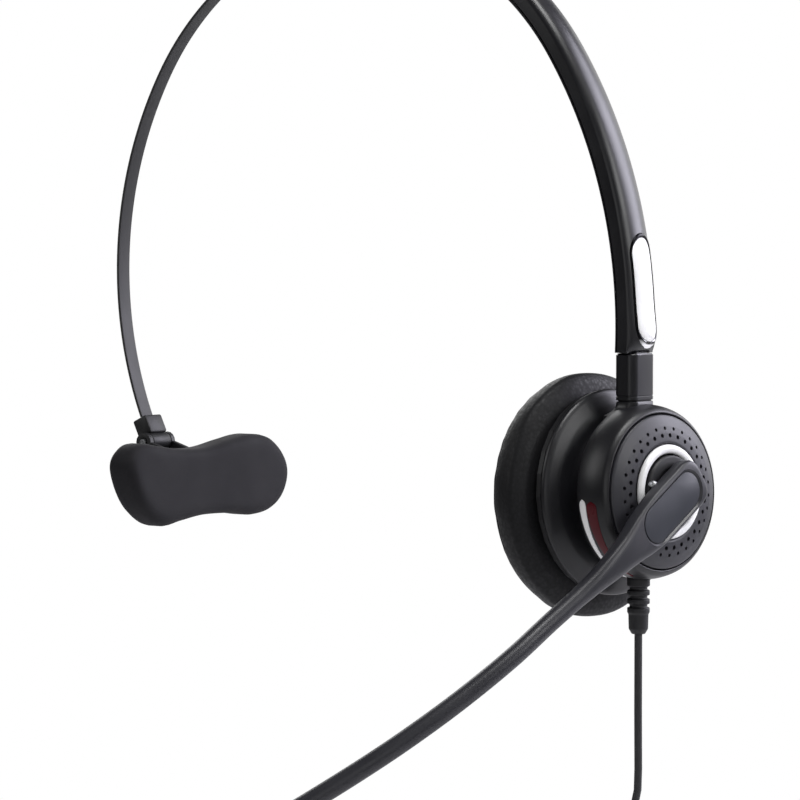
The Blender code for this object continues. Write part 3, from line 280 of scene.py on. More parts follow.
# unpainted black ABS of inner and hinge parts: flat and dark, with hardly a highlight
inner_abs = moulded("inner_black_abs", "#101012", "#151518", 0.50, 0.45, 0.015)
# glass-filled PBT of the speaker's frame: dull mid grey
frame_pbt = moulded("speaker_frame_pbt", "#3a3a3c", "#444447", 0.55, 0.40, 0.015)
# powder coat on the spring steel strip: matt near-black with a faint orange peel
band_coat = moulded("powder_coated_spring_steel", "#1c1c1d", "#222223", 0.52, 0.60, 0.0015)
# silicone skin of the temple pad: dead matt, and shaded by its form alone
pad_rubber = moulded("matt_silicone_pad", "#19181c", "#1e1d21", 0.78, 0.40, 0.020, Specular_IOR_Level=0.3)
# soft thermoplastic rubber of the strain relief: dull, with a blunt highlight on each rib
relief_tpe = moulded("soft_tpe_relief", "#151518", "#1b1b1e", 0.55, 0.35, 0.012)
# extruded PVC jacket of the cord: matt dark grey with a thin line of light along it
cord_pvc = moulded("matt_pvc_cord", "#272729", "#2d2d2f", 0.54, 0.50, 0.0015)
# PVC tie: a little darker and smoother than the cord that it holds
tie_pvc = moulded("pvc_tie", "#161617", "#1b1b1c", 0.50, 0.40, 0.010)
# clear smoked polycarbonate of the plug: glassy, so that the contacts show in it
plug_pc = moulded("clear_smoke_polycarbonate", "#8f9498", "#9aa0a4", 0.12, 0.80, 0.002,
                  Transmission_Weight=0.75, IOR=1.585)
# formed PET film of the speaker's dome: pale amber with a soft gleam
dome_pet = moulded("amber_pet_dome", "#a59f90", "#b4ae9f", 0.20, 0.80, 0.002)
# cast acrylic of the badge's plate: clean glossy white
white_insert = moulded("gloss_white_insert", "#f4f4f4", "#fbfbfb", 0.25, 0.80, 0.002, Coat_Weight=0.4)
# acrylic lens beside the silver strip: deep dark red, even and not very shiny
red_lens = moulded("dark_red_acrylic_lens", "#4a0510", "#580816", 0.30, 0.80, 0.002,
                   Specular_IOR_Level=0.25)
# solder mask of the terminal board: green and semi-gloss
board_mask = moulded("green_solder_mask", "#0e4a22", "#14582a", 0.35, 0.60, 0.004)
# pearl silver lacquer of the ring and strips: pale from every side, with only a soft mirror in it
pearl_silver = plated("pearl_silver_lacquer", "#fafafa", 0.34, 0.6, metallic=0.05)
# bare spring steel: cool grey with a soft mirror
steel = plated("bare_spring_steel", "#b9bbbd", 0.30, 0.5)
# gold flash on the contacts: warm and bright
gold = plated("gold_plated_contact", "#d9a441", 0.25, 0.4)


def leatherette():
    """PU leatherette: embossed pebble grain with creases between, dark and soft, with a faint sheen.

    The real grain is about 0.5 mm across, and is drawn a little coarser so that it shows.
    """
    pebble_mm, crease_mm, warp_mm, pull = 0.9, 0.35, 3, 0.6 * MM
    material, tree, shader, where = surface("black_pu_leatherette", "#0f0f12", 0.52, Sheen_Weight=0.03,
                                            Sheen_Roughness=0.5, Specular_IOR_Level=0.25)
    warp = node(tree, "ShaderNodeTexNoise", Vector=where, Scale=1 / (warp_mm * MM), Detail=2.0)
    bent = node(tree, "ShaderNodeVectorMath", {"operation": "MULTIPLY_ADD"}, _0=warp.outputs[1],
                _1=(pull, pull, pull), _2=where)
    pebble = node(tree, "ShaderNodeTexVoronoi", {"feature": "SMOOTH_F1"}, Vector=bent.outputs[0],
                  Scale=1 / (pebble_mm * MM), Smoothness=0.4)
    crease = node(tree, "ShaderNodeTexNoise", Vector=where, Scale=1 / (crease_mm * MM), Detail=3.0)
    height = node(tree, "ShaderNodeMath", {"operation": "MULTIPLY_ADD"}, _0=crease.outputs[0], _1=0.25,
                  _2=pebble.outputs["Distance"])
    bump = node(tree, "ShaderNodeBump", {"invert": True}, Strength=0.7, Distance=0.05 * MM,
                Height=height.outputs[0])
    tree.links.new(bump.outputs[0], shader.inputs["Normal"])
    gloss = node(tree, "ShaderNodeMapRange", None, _0=pebble.outputs["Distance"], _1=0.1, _2=0.7, _3=0.44,
                 _4=0.62)
    tree.links.new(gloss.outputs[0], shader.inputs["Roughness"])
    shade = node(tree, "ShaderNodeMix", {"data_type": "RGBA"}, Factor=pebble.outputs["Distance"],
                 _6=srgb("#151518"), _7=srgb("#0d0d0f"))
    tree.links.new(shade.outputs[2], shader.inputs["Base Color"])
    return material


def speaker_mesh():
    """Woven acoustic cloth: a dull open weave, its threads 1 mm apart.

    They are about twice as coarse as real ones, so that they show.
    """
    # a Wave texture repeats every 0.314 of its unit, so this is 3.2 times the thread spacing
    wave_mm = 3.2
    material, tree, shader, where = surface("woven_acoustic_cloth", "#101011", 0.85, Sheen_Weight=0.3)
    warp = node(tree, "ShaderNodeTexWave", {"bands_direction": "Y"}, Vector=where, Scale=1 / (wave_mm * MM))
    weft = node(tree, "ShaderNodeTexWave", {"bands_direction": "Z"}, Vector=where, Scale=1 / (wave_mm * MM))
    weave = node(tree, "ShaderNodeMath", {"operation": "MAXIMUM"}, _0=warp.outputs[1], _1=weft.outputs[1])
    bump = node(tree, "ShaderNodeBump", Strength=0.8, Distance=0.08 * MM, Height=weave.outputs[0])
    tree.links.new(bump.outputs[0], shader.inputs["Normal"])
    shade = node(tree, "ShaderNodeMix", {"data_type": "RGBA"}, Factor=weave.outputs[0], _6=srgb("#0a0a0b"),
                 _7=srgb("#1b1b1d"))
    tree.links.new(shade.outputs[2], shader.inputs["Base Color"])
    return material


pu_leather = leatherette()
acoustic_cloth = speaker_mesh()

# ---------------------------------------------------------------- making pieces


MERGE_MM = 1e-4


def piece(name, bm, material, body, stands_for=(), place=WORLD, crease=40, keep_open=False):
    """A bmesh in millimetres, in a piece's own frame, becomes a finished object in place.

    crease is the angle in degrees past which an edge stays sharp.
    """
    bmesh.ops.remove_doubles(bm, verts=bm.verts, dist=MERGE_MM)
    if not keep_open:
        bmesh.ops.holes_fill(bm, edges=[e for e in bm.edges if e.is_boundary])
    bmesh.ops.recalc_face_normals(bm, faces=bm.faces)
    bmesh.ops.transform(bm, matrix=TO_METRES @ place, verts=bm.verts)
    mesh = bpy.data.meshes.new(name)
    bm.to_mesh(mesh)
    bm.free()
    mesh.shade_smooth()
    mesh.set_sharp_from_angle(angle=radians(crease))
    mesh.materials.append(material)
    made = bpy.data.objects.new(name, mesh)
    scene.collection.objects.link(made)
    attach(made, body)
    if stands_for:
        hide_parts(*stands_for)
    return made


def round_corners(points, radius, steps=3, closed=False):
    """A polyline with each inner corner turned into a short curve."""
    count = len(points)
    rounded = []
    for i, here in enumerate(points):
        if not closed and i in (0, count - 1):
            rounded.append(here)
            continue
        before, after = points[i - 1], points[(i + 1) % count]
        spans = [max(1e-9, dist(here, q)) for q in (before, after)]
        reach = [min(radius, 0.45 * span) / span for span in spans]
        start = [here[k] + (before[k] - here[k]) * reach[0] for k in (0, 1)]
        end = [here[k] + (after[k] - here[k]) * reach[1] for k in (0, 1)]
        for j in range(steps + 1):
            t = j / steps
            rounded.append(tuple((1 - t) ** 2 * start[k] + 2 * t * (1 - t) * here[k] + t * t * end[k]
                                 for k in (0, 1)))
    return rounded


def turned(profile, steps=128, radius=0.0, closed=False):
    """Spin a profile of (radius, height) once round the local Z axis."""
    points = round_corners(profile, radius, closed=closed) if radius else profile
    bm = bmesh.new()
    verts = [bm.verts.new((r, 0, h)) for r, h in points]
    pairs = list(zip(verts, verts[1:])) + ([(verts[-1], verts[0])] if closed else [])
    edges = [bm.edges.new(pair) for pair in pairs]
    bmesh.ops.spin(bm, geom=verts + edges, cent=(0, 0, 0), axis=(0, 0, 1), angle=2 * pi, steps=steps,
                   use_merge=True)
    bmesh.ops.remove_doubles(bm, verts=bm.verts, dist=MERGE_MM)
    return bm


def along_band(section, start, stop, step=radians(0.9)):
    """Spin a closed section of (across, outward) along the headband's arcs."""
    bm = bmesh.new()
    here = band_point(start)
    verts = [bm.verts.new(here + radial(start) * r + Vector((0, y, 0))) for y, r in section]
    geom = verts + [bm.edges.new(pair) for pair in zip(verts, verts[1:] + verts[:1])]
    bounds = [CROWN_TO_RIGHT, CROWN_TO_LEFT]
    stops = [start] + [b for b in bounds if start < b < stop] + [stop]
    for low, high in zip(stops, stops[1:]):
        middle = (low + high) / 2
        centre = LEFT_C if middle > CROWN_TO_LEFT else RIGHT_C if middle < CROWN_TO_RIGHT else CROWN_C
        spun = bmesh.ops.spin(bm, geom=geom, cent=centre, axis=(0, -1, 0), angle=high - low,
                              steps=max(2, round((high - low) / step)))
        geom = spun["geom_last"]
    return bm


def skin(across, along, place):
    """A grid whose points are moved onto a tube's surface: place(share round, share along)."""
    bm = bmesh.new()
    bmesh.ops.create_grid(bm, x_segments=across, y_segments=along, size=1)
    for vert in bm.verts:
        vert.co = place((vert.co.x + 1) / 2, (vert.co.y + 1) / 2)
    bmesh.ops.remove_doubles(bm, verts=bm.verts, dist=MERGE_MM)
    return bm


def smooth_value(table, x):
    """Read a smooth curve through a table of (x, y), with its slope at each point from the two beside it."""
    last = len(table) - 1
    k = 0
    while k < last - 1 and x > table[k + 1][0]:
        k += 1
    (x0, y0), (x1, y1) = table[k], table[k + 1]
    before, after = table[max(k - 1, 0)], table[min(k + 2, last)]
    slope0 = (y1 - before[1]) / (x1 - before[0])
    slope1 = (after[1] - y0) / (after[0] - x0)
    step = x1 - x0
    t = (x - x0) / step
    return ((2 * t ** 3 - 3 * t ** 2 + 1) * y0 + (t ** 3 - 2 * t ** 2 + t) * step * slope0
            + (3 * t ** 2 - 2 * t ** 3) * y1 + (t ** 3 - t ** 2) * step * slope1)


SIDE_STEPS = 16      # points along a straight side, so that it can be bent onto the arm


def stadium(length, width, steps=14):
    """Closed outline, long along Y, with round ends."""
    half = (length - width) / 2
    outline = []
    for end in (1, -1):
        for k in range(steps + 1):
            angle = pi * k / steps + (0 if end > 0 else pi)
            outline.append((width / 2 * cos(angle), end * half + width / 2 * sin(angle)))
        outline += [(-end * width / 2, end * half * (1 - 2 * k / SIDE_STEPS)) for k in range(1, SIDE_STEPS)]
    return outline


def plate(outline, low, high, edge=0.0):
    """A flat plate of this outline, with its upper edge rounded."""
    bm = bmesh.new()
    face = bm.faces.new([bm.verts.new((x, y, low)) for x, y in outline])
    raised = bmesh.ops.extrude_face_region(bm, geom=[face])["geom"]
    bmesh.ops.translate(bm, verts=[v for v in raised if isinstance(v, bmesh.types.BMVert)],
                        vec=(0, 0, high - low))
    if edge:
        rim = [e for e in bm.edges if all(abs(v.co.z - high) < 1e-6 for v in e.verts)]
        bmesh.ops.bevel(bm, geom=rim, offset=edge, segments=3, profile=0.5, affect="EDGES", material=-1)
    return bm


def cut_away(made, cutter):
    """Subtract a bmesh cutter, given in metres and in place, and keep the result in the mesh."""
    mesh = bpy.data.meshes.new("cutter")
    cutter.to_mesh(mesh)
    cutter.free()
    tool = bpy.data.objects.new("cutter", mesh)
    scene.collection.objects.link(tool)
    modifier = made.modifiers.new("cut", "BOOLEAN")
    modifier.object, modifier.solver = tool, "EXACT"
    keep_result(made)
    bpy.data.objects.remove(tool)


def keep_result(made):
    """Modifiers are applied, so that the piece is only its mesh."""
    graph = bpy.context.evaluated_depsgraph_get()
    result = bpy.data.meshes.new_from_object(made.evaluated_get(graph))
    made.modifiers.clear()
    old, made.data = made.data, result
    bpy.data.meshes.remove(old)


# ---------------------------------------------------------------- cord

SHOULDER_Z = CUP.z - DRUM_R - 0.5      # where the strain relief comes out of the drum
RELIEF_L = 14.6
CORD_SUNK = 2.7                        # length of the cord inside the relief's end
CORD_TOP = Vector((CUP.x + 1.13, 0, SHOULDER_Z - RELIEF_L + CORD_SUNK))
COIL_AT = CORD_TOP + Vector((0.7, 0.3, -74.0))
TAIL_END = COIL_AT + Vector((-0.4, -0.8, -52.0))
# where each turn lies in the bundle, in strand spacings outward and toward the front
TURNS = [(1.73, 0), (0.87, 1.5), (0.87, 0.5), (0, 1), (-0.87, 1.5), (-0.87, 0.5), (-1.73, 0), (-0.87, -0.5),
         (0, 0), (0.87, -0.5), (0, -1), (-0.87, -1.5), (0.87, -1.5)]
STRAND = 2.04                          # a cord's diameter and a hair of air
COIL_FROM, COIL_TO = radians(140), radians(225)
TURN_POINTS = 28
CHANGE_AT = 0.72                       # share of a turn after which it moves over to the next one's place


def coil_point(k, angle):
    """A point of the winding, in the turn's own place until its last quarter or so."""
    share = (angle - COIL_FROM) / (2 * pi) - k
    t = min(1.0, max(0.0, (share - CHANGE_AT) / (1 - CHANGE_AT)))
    ease = t * t * (3 - 2 * t)
    here, after = TURNS[k], TURNS[min(k + 1, len(TURNS) - 1)]
    out = STRAND * (here[0] + (after[0] - here[0]) * ease)
    front = STRAND * (here[1] + (after[1] - here[1]) * ease)
    reach = COIL_R + out
    return COIL_AT + Vector((reach * cos(angle), front, reach * sin(angle)))


def cord_route():
    """Straight down out of the relief, round the tied coil that hangs from it, and down to the plug."""
    lead = [CORD_TOP + Vector(step) for step in
            ((0, 0, 0), (0, 0, -6), (0, 0, -14), (0, 0, -22), (0, 0.1, -30), (0, 0.2, -37),
             (-0.2, 0.25, -42.5), (-1.4, 0.35, -47.4), (-4.2, 0.4, -51.4), (-8.6, 0.3, -56.2))]
    winding = []
    sweep = (len(TURNS) - 1) * 2 * pi + COIL_TO - COIL_FROM
    count = round(sweep / (2 * pi) * TURN_POINTS)
    for n in range(count + 1):
        angle = COIL_FROM + sweep * n / count
        k = min(int((angle - COIL_FROM) / (2 * pi)), len(TURNS) - 1)
        winding.append(coil_point(k, angle))
    tail = [winding[-1] + Vector(step) for step in
            ((3.0, 0.1, -3.2), (6.2, 0.5, -6.8), (9.0, 1.1, -11.2), (10.7, 1.7, -16.5))]
    tail += [COIL_AT + Vector(step) for step in ((-0.9, -0.9, -36.5), (-0.6, -0.8, -44.0))]
    return lead + winding + tail + [TAIL_END]


def make_cord():
    """The cord as one round curve along its route; its length in millimetres is returned with it."""
    route = cord_route()
    curve = bpy.data.curves.new("cord", "CURVE")
    curve.dimensions = "3D"
    curve.bevel_depth = CORD_D / 2 * MM
    curve.bevel_resolution = 3
    curve.use_fill_caps = True
    spline = curve.splines.new("POLY")
    spline.points.add(len(route) - 1)
    for point, co in zip(spline.points, route):
        point.co = (*(co * MM), 1)
    curve.materials.append(cord_pvc)
    cord = bpy.data.objects.new("cord", curve)
    scene.collection.objects.link(cord)
    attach(cord, "ear_cup")
    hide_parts("cord_lead", "cord_coil", "cord_tail")
    length = sum((b - a).length for a, b in zip(route, route[1:]))
    return cord, length


cord, cord_length = make_cord()

# ---------------------------------------------------------------- strain relief, tie and plug


def make_relief():
    """Tapering sleeve with three deep grooves that let it flex, a stub in the drum and a chamfered end."""
    r, low, stub_r, cord_r = 2.9, SHOULDER_Z - RELIEF_L, 2.2, 1.12
    grooves, first_groove, pitch = 3, 2.6, 2.2
    profile = [(0.0, SHOULDER_Z + 3.0), (stub_r, SHOULDER_Z + 3.0), (stub_r, SHOULDER_Z + 0.4),
               (2.55, SHOULDER_Z + 0.1), (r, SHOULDER_Z - 0.5), (r, SHOULDER_Z - 2.4)]
    for k in range(grooves):
        z = SHOULDER_Z - first_groove - pitch * k
        profile += [(r - 0.65, z - 0.1), (r - 0.65, z - 0.75), (r - 0.05, z - 0.95), (r - 0.05, z - 2.1)]
    profile += [(r - 0.35, low + 5.0), (r - 0.45, low + 1.3), (r - 1.2, low), (cord_r, low),
                (cord_r, low + 2.0), (0.0, low + 2.0)]
    place = Matrix.Translation((CORD_TOP.x, 0, 0))
    return piece("strain_relief_sleeve", turned(profile, 64, 0.18), relief_tpe, "ear_cup", ["strain_relief"],
                 place, 50)


def make_tie():
    """Soft PVC tie wrapped round the bundle on its left side."""
    outer, inner, half = 5.75, 4.75, 2.1
    profile = [(outer, half), (outer, -half), (inner, -half), (inner, half)]
    place = Matrix.Translation(COIL_AT - Vector((COIL_R, 0, 0)))
    return piece("coil_tie", turned(profile, 48, 0.35, True), tie_pvc, "ear_cup", ["cord_tie"], place, 50)


def from_cad(name, node_name, material, body, bevel=0.25, lower=None):
    """A finer copy of a CAD node, its edges eased; lower is (x, z), and no point past x stands over z."""
    bm = bmesh.new()
    bm.from_mesh(frame["nodes"][node_name].data)
    bmesh.ops.transform(bm, matrix=Matrix.Scale(1 / MM, 4), verts=bm.verts)
    bmesh.ops.remove_doubles(bm, verts=bm.verts, dist=1e-3)
    bmesh.ops.dissolve_limit(bm, angle_limit=radians(2), verts=bm.verts, edges=bm.edges)
    for vert in bm.verts:
        if lower and vert.co.x > lower[0]:
            vert.co.z = min(vert.co.z, lower[1])
    if bevel:
        sharp = [e for e in bm.edges if len(e.link_faces) == 2 and e.calc_face_angle(0) > radians(40)]
        bmesh.ops.bevel(bm, geom=sharp, offset=bevel, segments=2, profile=0.5, affect="EDGES", material=-1,
                        clamp_overlap=True)
    return piece(name, bm, material, body, [node_name], WORLD, 35)


relief = make_relief()
tie = make_tie()
CONTACTS = [f"plug_contact_{k}" for k in (1, 2, 3, 4)]

# ---------------------------------------------------------------- headband and arm


def make_band():
    """Flat strip with eased edges, from inside the arm over the crown and down to the temple pad."""
    half, t = BAND_W / 2, BAND_T / 2
    section = round_corners([(-half, -t), (half, -t), (half, t), (-half, t)], 0.3, 3, True)
    bm = along_band(section, BAND_IN_ARM, BAND_LEFT_END)
    return piece("headband_strip", bm, band_coat, "headband", ["spring_band"], WORLD, 60)


def arm_width(angle):
    """The arm widens evenly from its top to its foot."""
    share = (ARM_TOP - angle) / (ARM_TOP - ARM_LIP)
    return ARM_W_TOP + (ARM_W_LIP - ARM_W_TOP) * share


def arm_crown(share):
    """Height of the arm's outer face over its side edge, at this share of its half width from the middle."""
    return ARM_CROWN * (1 - min(1.0, share * share)) ** 0.7


def widen(bm, base):
    """Taper the arm from a base width: points outside the channel move with the arm's own width."""
    half = base / 2
    for vert in bm.verts:
        angle = atan2(vert.co.z - RIGHT_C.z, vert.co.x - RIGHT_C.x)
        if angle > CROWN_TO_RIGHT:
            angle = atan2(vert.co.z - CROWN_C.z, vert.co.x - CROWN_C.x)
        outside = abs(vert.co.y) - CHANNEL_HALF
        if outside > 0.1:
            vert.co.y *= 1 + (arm_width(angle) / base - 1) * outside / (half - CHANNEL_HALF)


def lip_step(past_end):
    """How far the arm's outer face stands out near its foot: a swell under the badge, then a roll inward."""
    swell_rise, swell_at, swell_l = 0.7, 5.0, 4.5
    roll_drop, roll_l = 2.3, 3.6
    swell = swell_rise * exp(-((past_end - swell_at) / swell_l) ** 2)
    if past_end >= roll_l:
        return swell
    return swell - roll_drop * (1 - sqrt(1 - (1 - max(0.0, past_end) / roll_l) ** 2))


def shape_lip(bm):
    """Give the arm's outer face its step at the foot, fading to none at the channel's roof."""
    base = CHANNEL_ROOF + 0.1
    for vert in bm.verts:
        out = vert.co - RIGHT_C
        angle = atan2(out.z, out.x)
        if angle > CROWN_TO_RIGHT:
            continue
        reach = sqrt(out.x ** 2 + out.z ** 2)
        share = (reach - RIGHT_R - base) / (ARM_OUT - base)
        if share <= 0:
            continue
        step = share * lip_step((angle - ARM_LIP) * RIGHT_R)
        vert.co += Vector((out.x, 0, out.z)).normalized() * step


def make_arm():
    """Rounded outer shell over a channel, eased at both ends, with the inner cover under it."""
    half, side, dome_steps = ARM_W_LIP / 2, ARM_OUT - ARM_CROWN, 28
    dome = [(half * cos(pi * k / dome_steps), side + arm_crown(cos(pi * k / dome_steps)))
            for k in range(dome_steps + 1)]
    channel = [(-CHANNEL_HALF, ARM_RIM), (-CHANNEL_HALF, CHANNEL_ROOF), (CHANNEL_HALF, CHANNEL_ROOF),
               (CHANNEL_HALF, ARM_RIM)]
    section = [(half, ARM_RIM)] + dome + [(-half, ARM_RIM)] + channel
    bm = along_band(section, ARM_LIP, ARM_TOP, radians(0.4))
    widen(bm, ARM_W_LIP)
    shape_lip(bm)
    bmesh.ops.holes_fill(bm, edges=[e for e in bm.edges if e.is_boundary])
    # ease the edges of the two end faces, but not those round the channel at the foot
    ends = [f for f in bm.faces if len(f.verts) > 8]
    rims = list({e for f in ends for e in f.edges if abs(e.verts[0].co.y) > CHANNEL_HALF + 0.1
                 or (e.verts[0].co - band_point(ARM_LIP)).length > 2.5})
    bmesh.ops.bevel(bm, geom=rims, offset=0.55, segments=3, profile=0.5, affect="EDGES", material=-1,
                    clamp_overlap=True)
    piece("arm_outer", bm, arm_paint, "headband", ["arm_shell"], WORLD, 50)

    low, belly_steps = -ARM_IN, 16
    belly = [(half * cos(a), ARM_SPLIT + (low - ARM_SPLIT) * sin(a) ** 0.7)
             for a in [pi * k / belly_steps for k in range(1, belly_steps)]]
    section = [(half, ARM_SPLIT)] + belly + [(-half, ARM_SPLIT)]
    bm = along_band(section, ARM_LIP, ARM_TOP)
    widen(bm, ARM_W_LIP)
    piece("arm_cover", bm, arm_paint, "headband", ["arm_inner_cover"], WORLD, 50)


def onto_arm(bm):
    """Bend a flat badge piece down to the arm's crowned face."""
    half = arm_width(BADGE_AT) / 2
    for vert in bm.verts:
        droop = ARM_CROWN - arm_crown(vert.co.x / half)
        bow = RIGHT_R + ARM_OUT - sqrt((RIGHT_R + ARM_OUT) ** 2 - vert.co.y ** 2)
        past_end = (BADGE_AT - ARM_LIP) * RIGHT_R + vert.co.y
        vert.co.z += ARM_OUT - droop - bow + lip_step(past_end) * (1 - droop / ARM_CROWN)


def painted_light_rim_finish():
    """Plated rim with painted light: dark along its sides and head as painted shade from its recess, and
    bright on the lip at its foot as a painted reflection.
    """
    material = plated("chrome_rim_painted_shade_and_reflection", "#1a1a1c", 0.16, 0.8)
    tree = material.node_tree
    where = node(tree, "ShaderNodeSeparateXYZ", None, _0=node(tree, "ShaderNodeTexCoord").outputs["Object"])
    shade_to_reflection_z = (band_point(BADGE_AT).z - BADGE_L / 2 + 0.6) * MM      # where dark gives way to bright
    share = node(tree, "ShaderNodeMapRange", None, _0=where.outputs[2], _1=shade_to_reflection_z + 1.2 * MM,
                 _2=shade_to_reflection_z - 0.4 * MM, _3=0.0, _4=1.0)
    # painted light in the base colour: near black for the shade of the recess, near white below for the
    # painted reflection on the foot
    shade = node(tree, "ShaderNodeMix", {"data_type": "RGBA"}, Factor=share.outputs[0], _6=srgb("#161618"),
                 _7=srgb("#f2f2f3"))
    tree.links.new(shade.outputs[2], tree.nodes["Principled BSDF"].inputs["Base Color"])
    return material


def make_badge():
    """Rim with a wider lip at its foot round a pale plate, both following the arm's crowned face; the rim
    reaches out at its head as a dark band of painted shadow, and its foot lip carries a painted reflection.
    """
    rim_w, sunk, head_shadow_lip, foot_reflection_lip = 0.6, -0.8, 0.6, 1.3
    outer, inner = stadium(BADGE_L, BADGE_W, 24), stadium(BADGE_L - 2 * rim_w, BADGE_W - 2 * rim_w, 24)
    # share of the way across the rim, and height over the arm
    section = [(0.0, sunk), (0.0, 0.10), (0.35, 0.36), (0.75, 0.30), (1.0, 0.05), (1.0, sunk)]
    count = len(outer)

    def rim_point(u, v):
        i = round(u * count) % count
        share, height = section[round(v * (len(section) - 1))]
        x = outer[i][0] + (inner[i][0] - outer[i][0]) * share
        y = outer[i][1] + (inner[i][1] - outer[i][1]) * share
        past = max(0.0, abs(outer[i][1]) - (BADGE_L - BADGE_W) / 2) / (BADGE_W / 2)
        # the rim's ends reach further out: at the head as a dark band of painted shadow over the plate, at
        # the foot as the lip that carries the painted reflection
        y += (1 - share) * past * (head_shadow_lip if y > 0 else -foot_reflection_lip)
        return Vector((x, y, height))

    bm = skin(count, len(section) - 1, rim_point)
    onto_arm(bm)
    piece("badge_rim_painted_shade_and_reflection", bm, painted_light_rim_finish(), "headband", ["badge_rim"], band_frame(BADGE_AT), 60,
          keep_open=True)

    outline = stadium(BADGE_L - 1.3, BADGE_W - 1.3, 24)
    # share of the way in to the plate's spine, and height over the arm
    layers = [(0.0, sunk), (0.0, 0.02), (0.04, 0.10), (0.2, 0.14), (0.45, 0.16), (0.7, 0.17), (0.95, 0.17)]

    def plate_point(u, v):
        x, y = outline[round(u * count) % count]
        share, height = layers[round(v * (len(layers) - 1))]
        return Vector((x * (1 - share), y * (1 - 0.3 * share), height))

    bm = skin(count, len(layers) - 1, plate_point)
    onto_arm(bm)
    piece("badge_white_plate", bm, white_insert, "headband", ["badge_plate"], band_frame(BADGE_AT), 40)


make_band()
make_arm()
make_badge()

# ---------------------------------------------------------------- stem

STEM_TOP_Z = band_point(ARM_LIP).z - 0.3
STEM_BOTTOM_Z = STEM_TOP_Z - STEM_L


def stem_outline():
    """The stem's section: a block with wide facets outside, narrow ones inside, and soft corners."""
    t, w = STEM_T / 2, STEM_W / 2
    return round_corners([(t, -w + 1.7), (t, w - 1.7), (t - 1.6, w), (-t + 1.0, w), (-t, w - 1.0),
                          (-t, -w + 1.0), (-t + 1.0, -w), (t - 1.6, -w)], 0.7, 3, True)


def make_stem():
    """Block with a tongue up into the arm, a shallow seam near its foot and a lip at each end."""
    outline = stem_outline()
    count = len(outline)
    # height, and share of the full section
    rows = [(STEM_TOP_Z + 2.2, 0.62), (STEM_TOP_Z + 0.25, 0.64), (STEM_TOP_Z + 0.16, 0.93),
            (STEM_TOP_Z - 0.05, 0.95), (STEM_TOP_Z - 0.25, 1.0),
            (STEM_BOTTOM_Z + 1.25, 1.0), (STEM_BOTTOM_Z + 1.15, 0.975), (STEM_BOTTOM_Z + 0.95, 0.975),
            (STEM_BOTTOM_Z + 0.85, 1.0), (STEM_BOTTOM_Z + 0.12, 1.0), (STEM_BOTTOM_Z, 0.97),
            (STEM_BOTTOM_Z - 0.02, 0.90), (STEM_BOTTOM_Z - 0.27, 0.89)]

    def side(u, v):
        x, y = outline[round(u * count) % count]
        z, share = rows[round(v * (len(rows) - 1))]
        return Vector((CUP.x + x * share, y * share, z))

    piece("stem_block", skin(count, len(rows) - 1, side), arm_paint, "slider", ["stem"], WORLD, 35)


make_stem()

# ---------------------------------------------------------------- ear cup


def drum_r(z):
    """Radius of the drum's barrelled side at this depth."""
    swell, middle, half_depth = 1.25, 3.2, 5.6
    return DRUM_R + swell * max(0.0, 1 - ((z - middle) / half_depth) ** 2)


def make_housing():
    """Drum, neck and flange turned in one, with the boss that runs up to the stem."""
    seat, cap_hole = RIM_AT - 1.5, PLATE_R + 0.3
    barrel = [(drum_r(z), z) for z in (8.2, 7.2, 6.2, 5.2, 4.2, 3.2, 2.2, 1.2, 0.2)]
    profile = [(cap_hole, seat), (cap_hole, RIM_AT - 0.1), (PLATE_R + 0.5, RIM_AT + 0.05),
               (DRUM_R - 0.75, RIM_AT + 0.05), (DRUM_R - 0.25, RIM_AT - 0.35), *barrel,
               (DRUM_R - 0.7, DRUM_BACK), (NECK_R + 0.6, DRUM_BACK - 0.5),
               (NECK_R, DRUM_BACK - 1.2), (NECK_R, DRUM_BACK - 2.4), (NECK_R + 1.6, DRUM_BACK - 3.1),
               (FLANGE_R - 4.0, FLANGE_AT + 1.9), (FLANGE_R - 1.0, FLANGE_AT + 0.75),
               (FLANGE_R, FLANGE_AT), (FLANGE_R, FLANGE_AT - 1.2), (FLANGE_R - 1.2, FLANGE_AT - 1.2),
               (NECK_R - 1.6, DRUM_BACK - 4.6), (NECK_R - 1.6, DRUM_BACK + 0.2),
               (DRUM_R - 2.2, DRUM_BACK + 1.4), (DRUM_R - 2.2, seat)]
    piece("cup_drum", turned(profile, 144, 0.5, True), black_abs, "ear_cup", ["cup_housing"], CUP_FRAME, 50)

    # boss: the stem's own outline, widening in a fillet where it meets the drum
    outline = stem_outline()
    count = len(outline)
    top = STEM_BOTTOM_Z - 0.3
    # drop from the top, share of the stem's section, and how far its sides flare
    rows = [(0.0, 0.96, 0.0), (-0.15, 1.0, 0.0), (-0.9, 1.0, 0.0), (-1.5, 1.0, 0.25), (-2.1, 1.0, 0.75),
            (-2.6, 1.0, 1.5), (-3.0, 1.0, 2.6), (-3.4, 1.0, 4.0), (-5.4, 1.0, 4.2)]

    def side(u, v):
        x, y = outline[round(u * count) % count]
        drop, share, flare = rows[round(v * (len(rows) - 1))]
        spread = flare * abs(y) / (STEM_W / 2)
        return Vector((CUP.x + x * share, y * share + (spread if y > 0 else -spread), top + drop))

    boss = skin(count, len(rows) - 1, side)
    axis = Vector((CUP.x, 0, 0))
    for vert in boss.verts:      # its top faces as the stem does, and its foot as the cup does
        turn = min(1.0, max(0.0, (top - 0.9 - vert.co.z) / 2.0))
        vert.co = Matrix.Rotation(-CUP_TURN * turn, 4, "Z") @ (vert.co - axis) + axis
    piece("cup_boss", boss, black_abs, "ear_cup", (), WORLD, 40)


